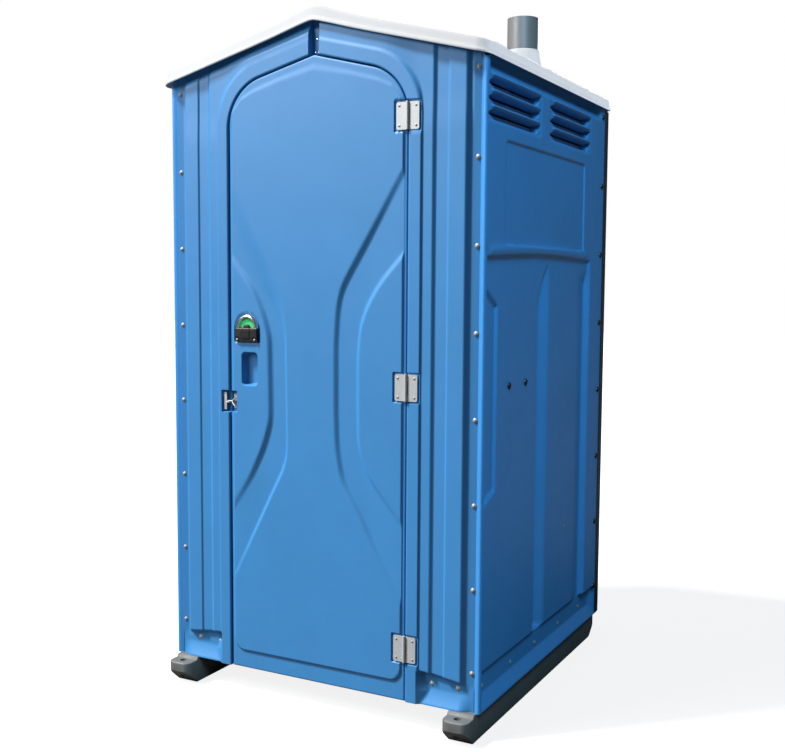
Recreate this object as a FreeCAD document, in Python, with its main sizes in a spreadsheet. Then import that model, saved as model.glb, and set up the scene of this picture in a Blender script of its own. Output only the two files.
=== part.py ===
import FreeCAD, Part
import Sketcher
import math, os
from FreeCAD import Vector, Placement, Rotation

# Portable toilet cabin: a moulded plastic cabin on two skids with a hinged
# door, gable roof, vent pipe, waste tank, seat, urinal and paper holder.
# Millimetres.  +X is to the right of somebody facing the door, +Y is to the
# back of the cabin, +Z is up.  The origin is on the ground under the middle
# of the whole object's bounding box.

doc = FreeCAD.newDocument("portable_toilet_cabin")
sheet = doc.addObject("Spreadsheet::Sheet", "dims")

DIMS = [
    ("cabin_width", 1105.0, "outside width over the side panels"),
    ("front_y", -515.5, "plane of the riveted front flange"),
    ("back_y", 589.5, "rear plane of the back panel"),
    ("lip_z", 85.0, "bottom lip of the walls and underside of the floor"),
    ("door_proud", 26.0, "door face ahead of the front flange plane"),
    ("skin", 5.0, "thickness of moulded skins"),
    ("wall", 6.0, "thickness of side and back panels"),
    ("skid_width", 84.0, "skid section width"),
    ("skid_height", 85.0, "skid section height"),
    ("skid_front", -594.0, "front end of the skids"),
    ("skid_back", 594.0, "rear end of the skids"),
    ("skid_x", 500.0, "skid centre line from the middle"),
    ("tie_hole_r", 11.0, "tie down hole radius in each skid tip"),
    ("tie_hole_y", -560.0, "tie down hole position"),
    ("floor_deck", 12.0, "thickness of the floor deck"),
    ("floor_half", 525.8, "half width of the floor pan"),
    ("floor_rim_z", 178.0, "top of the floor pan's upstand"),
    ("sill_z", 115.0, "top of the door sill"),
    ("door_half", 314.0, "half width of the door"),
    ("door_base", 84.0, "bottom edge of the door"),
    ("door_peak", 2000.0, "peak of the door"),
    ("door_arc", 155.0, "radius of the door's shoulders"),
    ("door_gap", 4.0, "gap between door and jamb"),
    ("door_depth", 38.0, "thickness of the door over both skins"),
    ("slope", 0.2555, "rise of roof and door head over run"),
    ("roof_top", 2135.0, "apex where the two roof slopes would meet"),
    ("roof_crest", 2128.0, "flattened crest of the roof"),
    ("roof_half", 565.0, "half width of the roof"),
    ("roof_front", -552.0, "front edge of the roof"),
    ("roof_back", 594.0, "rear edge of the roof"),
    ("roof_skin", 6.0, "thickness of the roof"),
    ("fascia", 38.0, "height of the roof's rim"),
    ("pipe_r", 57.0, "outside radius of the vent pipe"),
    ("pipe_bore", 53.0, "inside radius of the vent pipe"),
    ("pipe_x", 249.0, "vent pipe centre"),
    ("pipe_y", 507.0, "vent pipe centre"),
    ("pipe_top", 2298.0, "top of the vent pipe"),
    ("tank_front", 15.0, "front wall of the waste tank"),
    ("tank_step", 424.0, "where the tank's rear deck starts"),
    ("tank_deck", 510.0, "height of the seat deck"),
    ("tank_rear_deck", 590.0, "height of the rear deck"),
    ("seat_x", -60.0, "seat centre"),
    ("seat_y", 202.0, "seat centre"),
    ("hinge_x", 316.0, "door hinge axis"),
    ("hinge_y", -544.2, "door hinge axis"),
    ("hinge_pin_r", 2.5, "hinge pin radius"),
    ("knuckle_r", 4.5, "hinge knuckle radius"),
    ("hinge_height", 78.0, "hinge leaf height"),
    ("hinge_leaf", 36.5, "hinge leaf width from the pin"),
    ("latch_x", -246.0, "latch spindle"),
    ("latch_z", 1186.0, "latch spindle"),
    ("spindle_r", 6.0, "latch spindle radius"),
    ("run_gap", 0.05, "radial clearance of turning fits"),
    ("rivet_r", 8.0, "flange radius of the wall rivets"),
    ("rivet_pitch", 246.4, "pitch of the wall rivets"),
    ("rivet_low", 199.8, "height of the lowest wall rivet"),
    ("holder_z", 1023.0, "paper holder height"),
    ("rod_r", 6.0, "paper rod radius"),
]
for i, (alias, value, note) in enumerate(DIMS):
    row = str(i + 1)
    sheet.set("A" + row, note)
    sheet.set("B" + row, "%g" % value)
    sheet.setAlias("B" + row, alias)
doc.recompute()


class Q:
    """A number together with the spreadsheet expression it came from."""

    def __init__(self, v, e):
        self.v, self.e = float(v), e

    @staticmethod
    def of(o):
        return o if isinstance(o, Q) else Q(o, "%.6g" % o)

    def __add__(self, o):
        o = Q.of(o); return Q(self.v + o.v, "(%s + %s)" % (self.e, o.e))
    __radd__ = __add__

    def __sub__(self, o):
        o = Q.of(o); return Q(self.v - o.v, "(%s - %s)" % (self.e, o.e))

    def __rsub__(self, o):
        return Q.of(o) - self

    def __mul__(self, o):
        o = Q.of(o); return Q(self.v * o.v, "(%s * %s)" % (self.e, o.e))
    __rmul__ = __mul__

    def __truediv__(self, o):
        o = Q.of(o); return Q(self.v / o.v, "(%s / %s)" % (self.e, o.e))

    def __neg__(self):
        return Q(-self.v, "(-1 * %s)" % self.e)

    def __float__(self):
        return self.v


def D(alias):
    return Q(getattr(sheet, alias), "dims." + alias)


def val(o):
    return o.v if isinstance(o, Q) else float(o)


def bind(obj, prop, q):
    if isinstance(q, Q):
        obj.setExpression(prop, q.e)
    else:
        parts = prop.split(".")
        if len(parts) == 1:
            setattr(obj, prop, q)
        else:
            obj.setExpression(prop, "%.6g" % q)


# ---------------------------------------------------------------- sketches
COUNT = [0]


def uname(stem):
    COUNT[0] += 1
    return "%s%d" % (stem, COUNT[0])


def origin_plane(body, role):
    for f in body.Origin.OriginFeatures:
        if f.Role == role:
            return f


def poly(pts):
    """Closed loop of straight edges."""
    n = len(pts)
    return [("L", pts[i], pts[(i + 1) % n]) for i in range(n)]


def ring(cx, cy, r):
    return [("C", (val(cx), val(cy)), val(r))]


def oval(cx, cy, rx, ry):
    return [("E", (val(cx), val(cy)), val(rx), val(ry))]


def fillet_poly(pts, radii):
    """Closed loop with rounded corners; radii is one number or a list."""
    n = len(pts)
    if not isinstance(radii, (list, tuple)):
        radii = [radii] * n
    ins, outs, mids = [], [], []
    for i in range(n):
        p = Vector(pts[i][0], pts[i][1], 0)
        a = Vector(pts[i - 1][0], pts[i - 1][1], 0) - p
        b = Vector(pts[(i + 1) % n][0], pts[(i + 1) % n][1], 0) - p
        r = radii[i]
        if r <= 0:
            ins.append(p); outs.append(p); mids.append(None); continue
        a.normalize(); b.normalize()
        half = a.getAngle(b) / 2.0
        t = r / math.tan(half)
        c = p + (a + b).normalize() * (r / math.sin(half))
        pa, pb = p + a * t, p + b * t
        ins.append(pa); outs.append(pb)
        mids.append(c + (p - c).normalize() * r)
    edges = []
    for i in range(n):
        if mids[i] is not None:
            edges.append(("A", (ins[i].x, ins[i].y), (mids[i].x, mids[i].y), (outs[i].x, outs[i].y)))
        j = (i + 1) % n
        if (ins[j] - outs[i]).Length > 1e-6:
            edges.append(("L", (outs[i].x, outs[i].y), (ins[j].x, ins[j].y)))
    return edges


def box2(x0, y0, x1, y1):
    return ("RECT", x0, y0, x1, y1)


def add_sketch(body, role, offset, loops):
    sk = body.newObject("Sketcher::SketchObject", uname("Sketch"))
    sk.AttachmentSupport = [(origin_plane(body, role), "")]
    sk.MapMode = "FlatFace"
    bind(sk, "AttachmentOffset.Base.z", offset)
    for loop in loops:
        if isinstance(loop, tuple) and loop[0] == "RECT":
            _, x0, y0, x1, y1 = loop
            c = [(val(x0), val(y0)), (val(x1), val(y0)), (val(x1), val(y1)), (val(x0), val(y1))]
            g = []
            for k in range(4):
                p, q = c[k], c[(k + 1) % 4]
                g.append(sk.addGeometry(Part.LineSegment(Vector(p[0], p[1], 0), Vector(q[0], q[1], 0))))
            for k in range(4):
                sk.addConstraint(Sketcher.Constraint("Coincident", g[k], 2, g[(k + 1) % 4], 1))
            sk.addConstraint(Sketcher.Constraint("Horizontal", g[0]))
            sk.addConstraint(Sketcher.Constraint("Horizontal", g[2]))
            sk.addConstraint(Sketcher.Constraint("Vertical", g[1]))
            sk.addConstraint(Sketcher.Constraint("Vertical", g[3]))
            for kind, gi, q in (("DistanceX", g[0], x0), ("DistanceY", g[0], y0),
                                ("DistanceX", g[2], x1), ("DistanceY", g[2], y1)):
                ci = sk.addConstraint(Sketcher.Constraint(kind, -1, 1, gi, 1, val(q)))
                if isinstance(q, Q):
                    sk.setExpression("Constraints[%d]" % ci, q.e)
            continue
        ends = []
        for e in loop:
            if e[0] == "L":
                gi = sk.addGeometry(Part.LineSegment(Vector(e[1][0], e[1][1], 0), Vector(e[2][0], e[2][1], 0)))
                ends.append((gi, 1, e[1])); ends.append((gi, 2, e[2]))
            elif e[0] == "A":
                p, m, q = e[1], e[2], e[3]
                turn = (m[0] - p[0]) * (q[1] - m[1]) - (m[1] - p[1]) * (q[0] - m[0])
                if turn < 0:                     # arcs run anticlockwise
                    p, q = q, p
                gi = sk.addGeometry(Part.Arc(Vector(p[0], p[1], 0), Vector(m[0], m[1], 0), Vector(q[0], q[1], 0)))
                ends.append((gi, 1, p)); ends.append((gi, 2, q))
            elif e[0] == "C":
                sk.addGeometry(Part.Circle(Vector(e[1][0], e[1][1], 0), Vector(0, 0, 1), e[2]))
            elif e[0] == "E":
                a, b = e[2], e[3]
                if a >= b:
                    el = Part.Ellipse(Vector(e[1][0], e[1][1], 0), a, b)
                else:
                    el = Part.Ellipse(Vector(e[1][0], e[1][1] + b, 0), Vector(e[1][0] + a, e[1][1], 0), Vector(e[1][0], e[1][1], 0))
                sk.addGeometry(el)
        used = set()
        for i in range(len(ends)):
            for j in range(i + 1, len(ends)):
                if i in used or j in used or ends[i][0] == ends[j][0]:
                    continue
                if abs(ends[i][2][0] - ends[j][2][0]) < 1e-5 and abs(ends[i][2][1] - ends[j][2][1]) < 1e-5:
                    sk.addConstraint(Sketcher.Constraint("Coincident", ends[i][0], ends[i][1], ends[j][0], ends[j][1]))
                    used.add(i); used.add(j)
    return sk


def feature(body, kind, role, lo, hi, loops):
    """Pad or Pocket between the planes lo and hi along the role's axis."""
    flip = role == "XZ_Plane"          # that plane's own normal is -Y
    pad = kind == "Pad"
    if flip:
        off = -Q.of(hi) if pad else -Q.of(lo)
    else:
        off = Q.of(lo) if pad else Q.of(hi)
    before = body.Shape.Volume if (not pad and body.Shape and not body.Shape.isNull()) else 0.0
    sk = add_sketch(body, role, off, loops)
    f = body.newObject("PartDesign::" + kind, uname(kind))
    f.Profile = sk
    bind(f, "Length", Q.of(hi) - Q.of(lo))
    doc.recompute([sk, f, body])
    if not pad:
        after = body.Shape.Volume
        if not after < before - 1e-3:
            raise RuntimeError("pocket cut nothing in " + body.Label)
    return f


def pad(body, role, lo, hi, *loops):
    return feature(body, "Pad", role, lo, hi, list(loops))


def pocket(body, role, lo, hi, *loops):
    return feature(body, "Pocket", role, lo, hi, list(loops))


PIECES = []


def body(label):
    b = doc.addObject("PartDesign::Body", label)
    b.Label = label
    PIECES.append(b)
    return b


def keep(obj, label):
    obj.Label = label
    PIECES.append(obj)
    return obj


def cyl(name, r, h, place, angle=None):
    c = doc.addObject("Part::Cylinder", uname(name))
    bind(c, "Radius", r)
    bind(c, "Height", h)
    c.Placement = place
    return c


def cut(name, a, b):
    c = doc.addObject("Part::Cut", uname(name))
    c.Base, c.Tool = a, b
    return c


def fuse(name, objs):
    c = doc.addObject("Part::MultiFuse", uname(name))
    c.Shapes = objs
    return c


UP = Rotation()
ALONG_Y = Rotation(Vector(1, 0, 0), -90)      # a cylinder's axis turned to +Y
ALONG_NEG_Y = Rotation(Vector(1, 0, 0), 90)
ALONG_X = Rotation(Vector(0, 1, 0), 90)

W2 = D("cabin_width") / 2
FY, BY = D("front_y"), D("back_y")
LIP = D("lip_z")
T, WALL = D("skin"), D("wall")
FACE = FY - D("door_proud")               # plane of the door's face
STOP = FY + 12.7                          # front of the door stop
SL = D("slope").v
ANG = math.atan(SL)


def roof_under(x):
    return D("roof_top").v - D("roof_skin").v - 0.2 - SL * abs(x)


# ---------------------------------------------------------- door outlines
def arch(d, top=None):
    """Door outline offset outwards by d: points of the right half."""
    w = D("door_half").v + d
    peak = D("door_peak").v + d / math.cos(ANG)
    r = D("door_arc").v + d
    t = r * math.tan((math.pi / 2 - ANG) / 2)
    zc = peak - SL * w
    p_v = (w, zc - t)
    c = (w - r, zc - t)
    p_s = (w - t * math.cos(ANG), zc + t * math.sin(ANG))
    m = (math.pi / 2 - ANG) / 2
    p_m = (c[0] + r * math.cos(m), c[1] + r * math.sin(m))
    return w, p_v, p_m, p_s, peak


def door_loop(d, base):
    w, pv, pm, ps, peak = arch(d)
    neg = lambda p: (-p[0], p[1])
    return [("L", (-w, base), (w, base)), ("L", (w, base), pv), ("A", pv, pm, ps), ("L", ps, (0.0, peak)),
            ("L", (0.0, peak), neg(ps)), ("A", neg(ps), neg(pm), neg(pv)), ("L", neg(pv), (-w, base))]


def band_loop(d0, d1, b0, b1, x0, s):
    """Strip between two offsets of the door outline, on side s (+1 or -1)."""
    m = lambda p: (s * p[0], p[1])
    w0, v0, m0, s0, k0 = arch(d0)
    w1, v1, m1, s1, k1 = arch(d1)
    a, b = (x0, k0 - SL * x0), (x0, k1 - SL * x0)
    return [("L", m((w0, b0)), m((w1, b1))), ("L", m((w1, b1)), m(v1)), ("A", m(v1), m(m1), m(s1)),
            ("L", m(s1), m(b)), ("L", m(b), m(a)), ("L", m(a), m(s0)), ("A", m(s0), m(m0), m(v0)),
            ("L", m(v0), m((w0, b0)))]


def zone_loop(d0, x0, x1, b, top_drop, s, inset=0.0):
    """Field between the door outline offset by d0 and a straight outer edge."""
    m = lambda p: (s * p[0], p[1])
    w0, v0, m0, s0, k0 = arch(d0)
    xa, xb = x0, x1 - inset
    zt = lambda x: roof_under(x) - top_drop - inset
    bb = b + inset
    return [("L", m((w0, bb)), m((xb, bb))), ("L", m((xb, bb)), m((xb, zt(xb)))), ("L", m((xb, zt(xb))), m((xa, zt(xa)))),
            ("L", m((xa, zt(xa))), m((xa, k0 - SL * xa))), ("L", m((xa, k0 - SL * xa)), m(s0)),
            ("A", m(s0), m(m0), m(v0)), ("L", m(v0), m((w0, bb)))]


# ------------------------------------------------------------------ skids
for name, s in (("skid_left", -1), ("skid_right", 1)):
    b = body(name)
    hw = D("skid_width") / 2
    pad(b, "XY_Plane", Q(0, "0"), D("skid_height"),
        fillet_poly([(-hw.v, D("skid_front").v), (hw.v, D("skid_front").v), (hw.v, D("skid_back").v), (-hw.v, D("skid_back").v)], [20, 20, 18, 18]))
    f0, b0 = D("skid_front").v, D("skid_back").v
    pocket(b, "YZ_Plane", -60.0, 60.0, poly([(f0 - 1, -1), (f0 + 22, -1), (f0 + 22, 0), (f0, 44), (f0 - 1, 44)]))
    pocket(b, "YZ_Plane", -60.0, 60.0, poly([(b0 + 1, -1), (b0 - 22, -1), (b0 - 22, 0), (b0, 44), (b0 + 1, 44)]))
    pocket(b, "YZ_Plane", -60.0, 60.0, poly([(f0 - 1, 76), (f0 + 52, 76), (f0 + 58, 86), (f0 - 1, 86)]))
    pocket(b, "XY_Plane", Q(-1, "-1"), D("skid_height") + 1, ring(0, D("tie_hole_y"), D("tie_hole_r")))
    b.Placement = Placement(Vector(s * D("skid_x").v, 0, 0), UP)

# -------------------------------------------------------------- floor pan
b = body("floor_pan")
fh = D("floor_half").v
fy0, fy1 = FY.v + 5.2, BY.v - 18.3
sill_y = STOP.v
plan = [(-fh, fy0), (-323.3, fy0), (-323.3, sill_y + 5.2), (-305.0, sill_y + 5.2), (-305.0, sill_y), (305.0, sill_y),
        (305.0, sill_y + 5.2), (323.3, sill_y + 5.2), (323.3, fy0), (fh, fy0), (fh, fy1), (-fh, fy1)]
pad(b, "XY_Plane", LIP, D("floor_rim_z"), poly(plan))
pocket(b, "XY_Plane", LIP + D("floor_deck"), D("floor_rim_z") + 1,
       poly([(-fh + 6, sill_y + 11.5), (fh - 6, sill_y + 11.5), (fh - 6, fy1 - 6), (-fh + 6, fy1 - 6)]))
pocket(b, "XY_Plane", D("sill_z"), D("floor_rim_z") + 1, box2(-330.0, fy0 - 1, 330.0, sill_y + 20))
# raised treads on the standing area
for k in range(7):
    x = -420 + k * 140
    pad(b, "XY_Plane", LIP + D("floor_deck") - 1, LIP + D("floor_deck") + 3, box2(x - 45.0, sill_y + 60, x + 45.0, -20.0))

# ------------------------------------------------------------ side panels
VENT_Z = (1790.0, 1832.0, 1874.0)
for name, s in (("side_panel_left", -1), ("side_panel_right", 1)):
    b = body(name)
    w = W2.v
    t = WALL.v
    outer = [(w, 85.0), (w, 92.0), (w - 16, 122.0), (w - 20, 128.0), (w - 20, 188.0), (w - 11, 203.0),
             (w - 11, 1385.0), (w, 1402.0), (w, roof_under(w))]
    inner = [(x - t, z) for x, z in reversed(outer)]
    inner[0] = (w - t, roof_under(w))
    prof = [(s * x, z) for x, z in outer + inner]
    pad(b, "XZ_Plane", FY + 9, BY - 134, poly(prof))
    # straight strips at the front and rear corners
    pad(b, "XZ_Plane", FY, FY + 15, box2(s * (W2 - 21), LIP, s * W2, Q.of(roof_under(w))))
    pad(b, "XZ_Plane", BY - 140, BY - 134, box2(s * (W2 - 26), LIP, s * W2, Q.of(roof_under(w))))
    pad(b, "XZ_Plane", BY - 135, BY, box2(s * (W2 - WALL), LIP, s * W2, Q.of(roof_under(w))))
    # return flange behind the jamb
    pad(b, "XZ_Plane", FY + T, FY + T * 2,
        poly([(s * 507.0, 180.0), (s * (w - 3), 180.0), (s * (w - 3), roof_under(w)), (s * 507.0, roof_under(w))]))
    # pilaster and panel fields on the lower part
    pad(b, "YZ_Plane", *(sorted((s * (w - 12), s * (w - 2)))),
        poly([(-60.0, 203.0), (93.0, 203.0), (93.0, 1300.0), (16.0, 1372.0), (-60.0, 1300.0)]))
    for pts in ([(-490.0, 240.0), (-388.0, 330.0), (-388.0, 1266.0), (-490.0, 1318.0)],
                [(446.0, 240.0), (412.0, 330.0), (412.0, 1266.0), (446.0, 1318.0)]):
        pad(b, "YZ_Plane", *(sorted((s * (w - 12), s * (w - 6)))), poly(pts))
    # shallow field for a sign
    pocket(b, "YZ_Plane", *(sorted((s * (w - 3), s * (w + 1)))),
           fillet_poly([(-363.0, 1425.0), (387.0, 1425.0), (387.0, 1735.0), (-363.0, 1735.0)], 16.0))
    # two banks of louvres: a slot under a hood
    for y0, y1 in ((-495.0, -78.0), (24.0, 437.0)):
        for z in VENT_Z:
            pad(b, "YZ_Plane", *(sorted((s * (w - 1), s * (w + 8)))), box2(y0, z + 14, y1, z + 20))
            pocket(b, "YZ_Plane", *(sorted((s * (w - 8), s * (w + 1)))), box2(y0 + 8, z, y1 - 8, z + 14))

# ------------------------------------------------------------- back panel
b = body("back_panel")
xe = W2.v - 6.3
gable = [(-xe, 85.0), (xe, 85.0), (xe, roof_under(xe)), (27.4, roof_under(27.4)), (-27.4, roof_under(27.4)), (-xe, roof_under(xe))]
pad(b, "XZ_Plane", BY - 18, BY - 12, poly(gable))
for x0, x1, z0, z1 in ((-xe, -470.0, 85.0, 1948.0), (470.0, xe, 85.0, 1948.0), (-250.0, -130.0, 210.0, 1760.0),
                       (130.0, 250.0, 210.0, 1760.0), (-470.0, 470.0, 190.0, 215.0), (-470.0, 470.0, 1755.0, 1800.0)):
    pad(b, "XZ_Plane", BY - 13, BY, box2(x0, z0, x1, z1))
for s in (-1, 1):
    pad(b, "XZ_Plane", BY - 62, BY - 17, box2(s * (W2 - 12), 100.0, s * (W2 - 6.3), 1960.0))

# ------------------------------------------------------------ front jambs
for name, s in (("front_jamb_left", -1), ("front_jamb_right", 1)):
    b = body(name)
    g = D("door_gap").v
    xo = W2.v - 21.3
    x0 = 0.25
    flange_top = [(s * xo, 85.0), (s * xo, roof_under(xo)), (s * 27.4, roof_under(27.4)), (s * x0, roof_under(27.4))]
    w0, v0, m0, s0, k0 = arch(g)
    mm = lambda p: (s * p[0], p[1])
    loop = [("L", (s * w0, 85.0), flange_top[0]), ("L", flange_top[0], flange_top[1]), ("L", flange_top[1], flange_top[2]),
            ("L", flange_top[2], flange_top[3]), ("L", flange_top[3], (s * x0, k0 - SL * x0)),
            ("L", (s * x0, k0 - SL * x0), mm(s0)), ("A", mm(s0), mm(m0), mm(v0)), ("L", mm(v0), (s * w0, 85.0))]
    pad(b, "XZ_Plane", FY, FY + T, loop)
    # raised field with a hollow back
    pad(b, "XZ_Plane", FY - 15, FY + 1, zone_loop(g, 16.0, 492.0, 172.0, 34.0, s))
    pocket(b, "XZ_Plane", FY - 10, FY + T + 1, zone_loop(g + T.v, 21.0, 492.0, 172.0, 34.0, s, inset=5.0))
    # two steps round the doorway
    pad(b, "XZ_Plane", FY - 21, FY - 14, band_loop(g, g + 91.0, 172.0, 172.0, 16.0, s))
    pad(b, "XZ_Plane", FACE, FY - 20, band_loop(g, g + 45.0, 85.0, 85.0, 16.0, s))
    # reveal and door stop
    pad(b, "XZ_Plane", FY, STOP + 5, band_loop(g, g + T.v, 85.0, 85.0, x0, s))
    pad(b, "XZ_Plane", FACE, FY + 1, band_loop(g, g + T.v, 85.0, 85.0, 16.0, s))
    pad(b, "XZ_Plane", STOP, STOP + 5, band_loop(-8.0, g + 1.0, 116.0, 116.0, x0, s))
    # foot of the jamb beside the door and the flared bottom lip
    pad(b, "XZ_Plane", FACE, FY + 1, box2(s * (w0 + 0.0), 85.0, s * (w0 + 45.0), 180.0))
    xs = sorted((s * (w0 + 40.0), s * xo))
    pad(b, "YZ_Plane", xs[0], xs[1], poly([(FY.v + 1, 142.0), (FY.v, 142.0), (FY.v - 16, 94.0), (FY.v - 16, 85.0), (FY.v + 1, 85.0)]))
    if s > 0:
        # seats for the three hinges
        for hz in (245.0, 1024.0, 1802.0):
            pocket(b, "XZ_Plane", FACE - 1, FACE + 2.5, box2(300.0, hz - 44, D("hinge_x") + D("hinge_leaf") + 2, hz + 44))
    else:
        # recess for the padlock bracket
        z0, z1, depth = 915.0, 983.0, 18.0
        pad(b, "XZ_Plane", FACE, FACE + depth + 4.5, box2(-370.5, z0 - 4.5, -(w0 + 0.0), z1 + 4.5))
        pocket(b, "XZ_Plane", FACE - 1, FACE + depth, box2(-366.0, z0, -w0 + 1.0, z1))

# ------------------------------------------------------------------- roof
b = body("roof")
rh, rt, rc = D("roof_half").v, D("roof_top").v, D("roof_crest").v
ty = D("roof_skin").v
xc = (rt - rc) / SL
out = [(-rh, rt - SL * rh), (-xc, rc), (xc, rc), (rh, rt - SL * rh)]
inn = [(rh, rt - SL * rh - ty), (xc, rc - ty), (-xc, rc - ty), (-rh, rt - SL * rh - ty)]
pad(b, "XZ_Plane", D("roof_front"), D("roof_back"), poly(out + inn))
fa = D("fascia").v
low = [(rh, rt - SL * rh - fa), (0.0, rt - fa), (-rh, rt - SL * rh - fa)]
band = poly(out + low)
pad(b, "XZ_Plane", D("roof_front"), D("roof_front") + ty, band)
pad(b, "XZ_Plane", D("roof_back") - 4.0, D("roof_back"), band)
for s in (-1, 1):
    xs = sorted((s * (rh - ty), s * rh))
    z1 = rt - SL * rh
    pad(b, "XZ_Plane", D("roof_front") + 1, D("roof_back") - 1, poly([(s * rh, z1 - fa), (s * rh, z1 - 1), (s * (rh - ty), z1 - 1), (s * (rh - ty), z1 - fa)]))
# boot round the vent pipe
sk = b.newObject("Sketcher::SketchObject", uname("Sketch"))
sk.AttachmentSupport = [(origin_plane(b, "XZ_Plane"), "")]
sk.MapMode = "FlatFace"
bind(sk, "AttachmentOffset.Base.z", -D("pipe_y"))
px, pr = D("pipe_x").v, D("pipe_r").v
bp = [(px + pr + 1, 2052.0), (px + 84, 2052.0), (px + 82, 2087.0), (px + 68, 2165.0), (px + 61, 2182.0), (px + pr + 1, 2182.0)]
for i in range(len(bp)):
    p, q = bp[i], bp[(i + 1) % len(bp)]
    sk.addGeometry(Part.LineSegment(Vector(p[0], p[1], 0), Vector(q[0], q[1], 0)))
ax = sk.addGeometry(Part.LineSegment(Vector(px, 2000, 0), Vector(px, 2300, 0)), True)
rev = b.newObject("PartDesign::Revolution", uname("Revolution"))
rev.Profile = sk
rev.ReferenceAxis = (sk, ["Axis0"])
rev.Angle = 360.0
doc.recompute()
pocket(b, "XY_Plane", 1950.0, 2190.0, ring(px, D("pipe_y"), pr + 1))
# clear the underside inside the boot
pocket(b, "XZ_Plane", D("pipe_y") - 110, D("roof_back") - 4.1,
       poly([(140.0, 1960.0), (360.0, 1960.0), (360.0, rt - SL * 360 - ty), (140.0, rt - SL * 140 - ty)]))

# -------------------------------------------------------------- vent pipe
at = Placement(Vector(D("pipe_x").v, D("pipe_y").v, D("tank_rear_deck").v), UP)
tube = cut("vent", cyl("pipe_outer", D("pipe_r"), D("pipe_top") - D("tank_rear_deck"), at),
           cyl("pipe_inner", D("pipe_bore"), D("pipe_top") - D("tank_rear_deck"), at))
keep(tube, "vent_pipe")

# ------------------------------------------------------ rear corner trims
for name, s in (("rear_corner_trim_left", -1), ("rear_corner_trim_right", 1)):
    b = body(name)
    w = W2.v
    y = BY.v
    pts = [(w, y - 30), (w + 3, y - 30), (w + 3, y + 3), (w - 30, y + 3), (w - 30, y), (w, y)]
    pad(b, "XY_Plane", 90.0, 1950.0, poly([(s * px_, py_) for px_, py_ in pts]))

# ------------------------------------------------------------------- door
HINGE_Z = (("top", 1802.0), ("middle", 1024.0), ("bottom", 245.0))
LX, LZ = D("latch_x"), D("latch_z")
INNER = FACE + D("door_depth")            # inside face of the door
SPLIT = FACE + 24.5
base = D("door_base").v
b = body("door_outer_skin")
pad(b, "XZ_Plane", FACE, SPLIT, door_loop(0.0, base))
pocket(b, "XZ_Plane", FACE + T, SPLIT + 1, door_loop(-5.0, base + 5))
# pull pocket
pad(b, "XZ_Plane", FACE + 1, FACE + 28, box2(-272.0, 999.0, -204.0, 1112.0))
pocket(b, "XZ_Plane", FACE - 1, FACE + 24, fillet_poly([(-267.0, 1004.0), (-209.0, 1004.0), (-209.0, 1107.0), (-267.0, 1107.0)], 12.0))
# latch opening
pocket(b, "XZ_Plane", FACE - 1, FACE + 6, ring(LX, LZ, 34.0))
# padlock recess at the closing edge
pad(b, "XZ_Plane", FACE + 1, FACE + 22.5, box2(-312.0, 910.5, -283.5, 987.5))
pocket(b, "XZ_Plane", FACE - 1, FACE + 18, box2(-315.0, 915.0, -288.0, 983.0))
# hinge seats
for _, hz in HINGE_Z:
    pocket(b, "XZ_Plane", FACE - 1, FACE + 2.5, box2(D("hinge_x") - D("hinge_leaf") - 4, hz - 44, 315.0, hz + 44))
b = body("door_inner_skin")
pad(b, "XZ_Plane", SPLIT, INNER, door_loop(0.0, base))
pocket(b, "XZ_Plane", SPLIT - 1, INNER - T, door_loop(-5.0, base + 5))
pocket(b, "XZ_Plane", INNER - 6, INNER + 1, ring(LX, LZ, 9.0))

# ----------------------------------------------------------------- hinges
HX, HY = D("hinge_x"), D("hinge_y")
KR, PR, HH, LW = D("knuckle_r"), D("hinge_pin_r"), D("hinge_height"), D("hinge_leaf")
LEAF0, LEAF1 = FACE - 0.2, FACE + 2.3
for tag, hz in HINGE_Z:
    half = HH.v / 2
    third = 18.0
    # frame leaf: plate on the jamb and the two end knuckles
    b = body("hinge_%s_frame_leaf" % tag)
    x0, x1 = HX.v, HX.v + LW.v
    pad(b, "XZ_Plane", LEAF0, LEAF1,
        fillet_poly([(x0 + 5.2, hz - half), (x1, hz - half), (x1, hz + half), (x0 + 5.2, hz + half)], [0, 6, 6, 0]))
    for za, zb in ((hz - half, hz - half + third), (hz + half - third, hz + half)):
        pad(b, "XY_Plane", za, zb, ring(HX, HY, KR))
        pad(b, "XY_Plane", za, zb, poly([(x0, LEAF0.v), (x0 + 6.0, LEAF0.v), (x0 + 6.0, LEAF1.v), (x0, LEAF1.v)]))
        pocket(b, "XY_Plane", za - 1, zb + 1, ring(HX, HY, PR + D("run_gap")))
    # door leaf: plate on the door and the middle knuckle
    b = body("hinge_%s_door_leaf" % tag)
    x1 = HX.v - LW.v
    pad(b, "XZ_Plane", LEAF0, LEAF1,
        fillet_poly([(x0 - 5.2, hz - half), (x1, hz - half), (x1, hz + half), (x0 - 5.2, hz + half)], [0, 6, 6, 0]))
    za, zb = hz - half + third + 0.4, hz + half - third - 0.4
    pad(b, "XY_Plane", za, zb, ring(HX, HY, KR))
    pad(b, "XY_Plane", za, zb, poly([(x0, LEAF0.v), (x0 - 6.0, LEAF0.v), (x0 - 6.0, LEAF1.v), (x0, LEAF1.v)]))
    pocket(b, "XY_Plane", za - 1, zb + 1, ring(HX, HY, PR + D("run_gap")))
    # pin with a flat head at the top
    pin = cyl("pin", PR, HH, Placement(Vector(HX.v, HY.v, hz - half), UP))
    head = cyl("pin_head", KR - 0.3, 2.0, Placement(Vector(HX.v, HY.v, hz + half + 0.1), UP))
    neck = cyl("pin_neck", PR, 0.2, Placement(Vector(HX.v, HY.v, hz + half), UP))
    keep(fuse("pin_fused", [pin, neck, head]), "hinge_%s_pin" % tag)

# ------------------------------------------------------------------ latch
lx, lz = LX.v, LZ.v
b = body("latch_housing")
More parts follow.
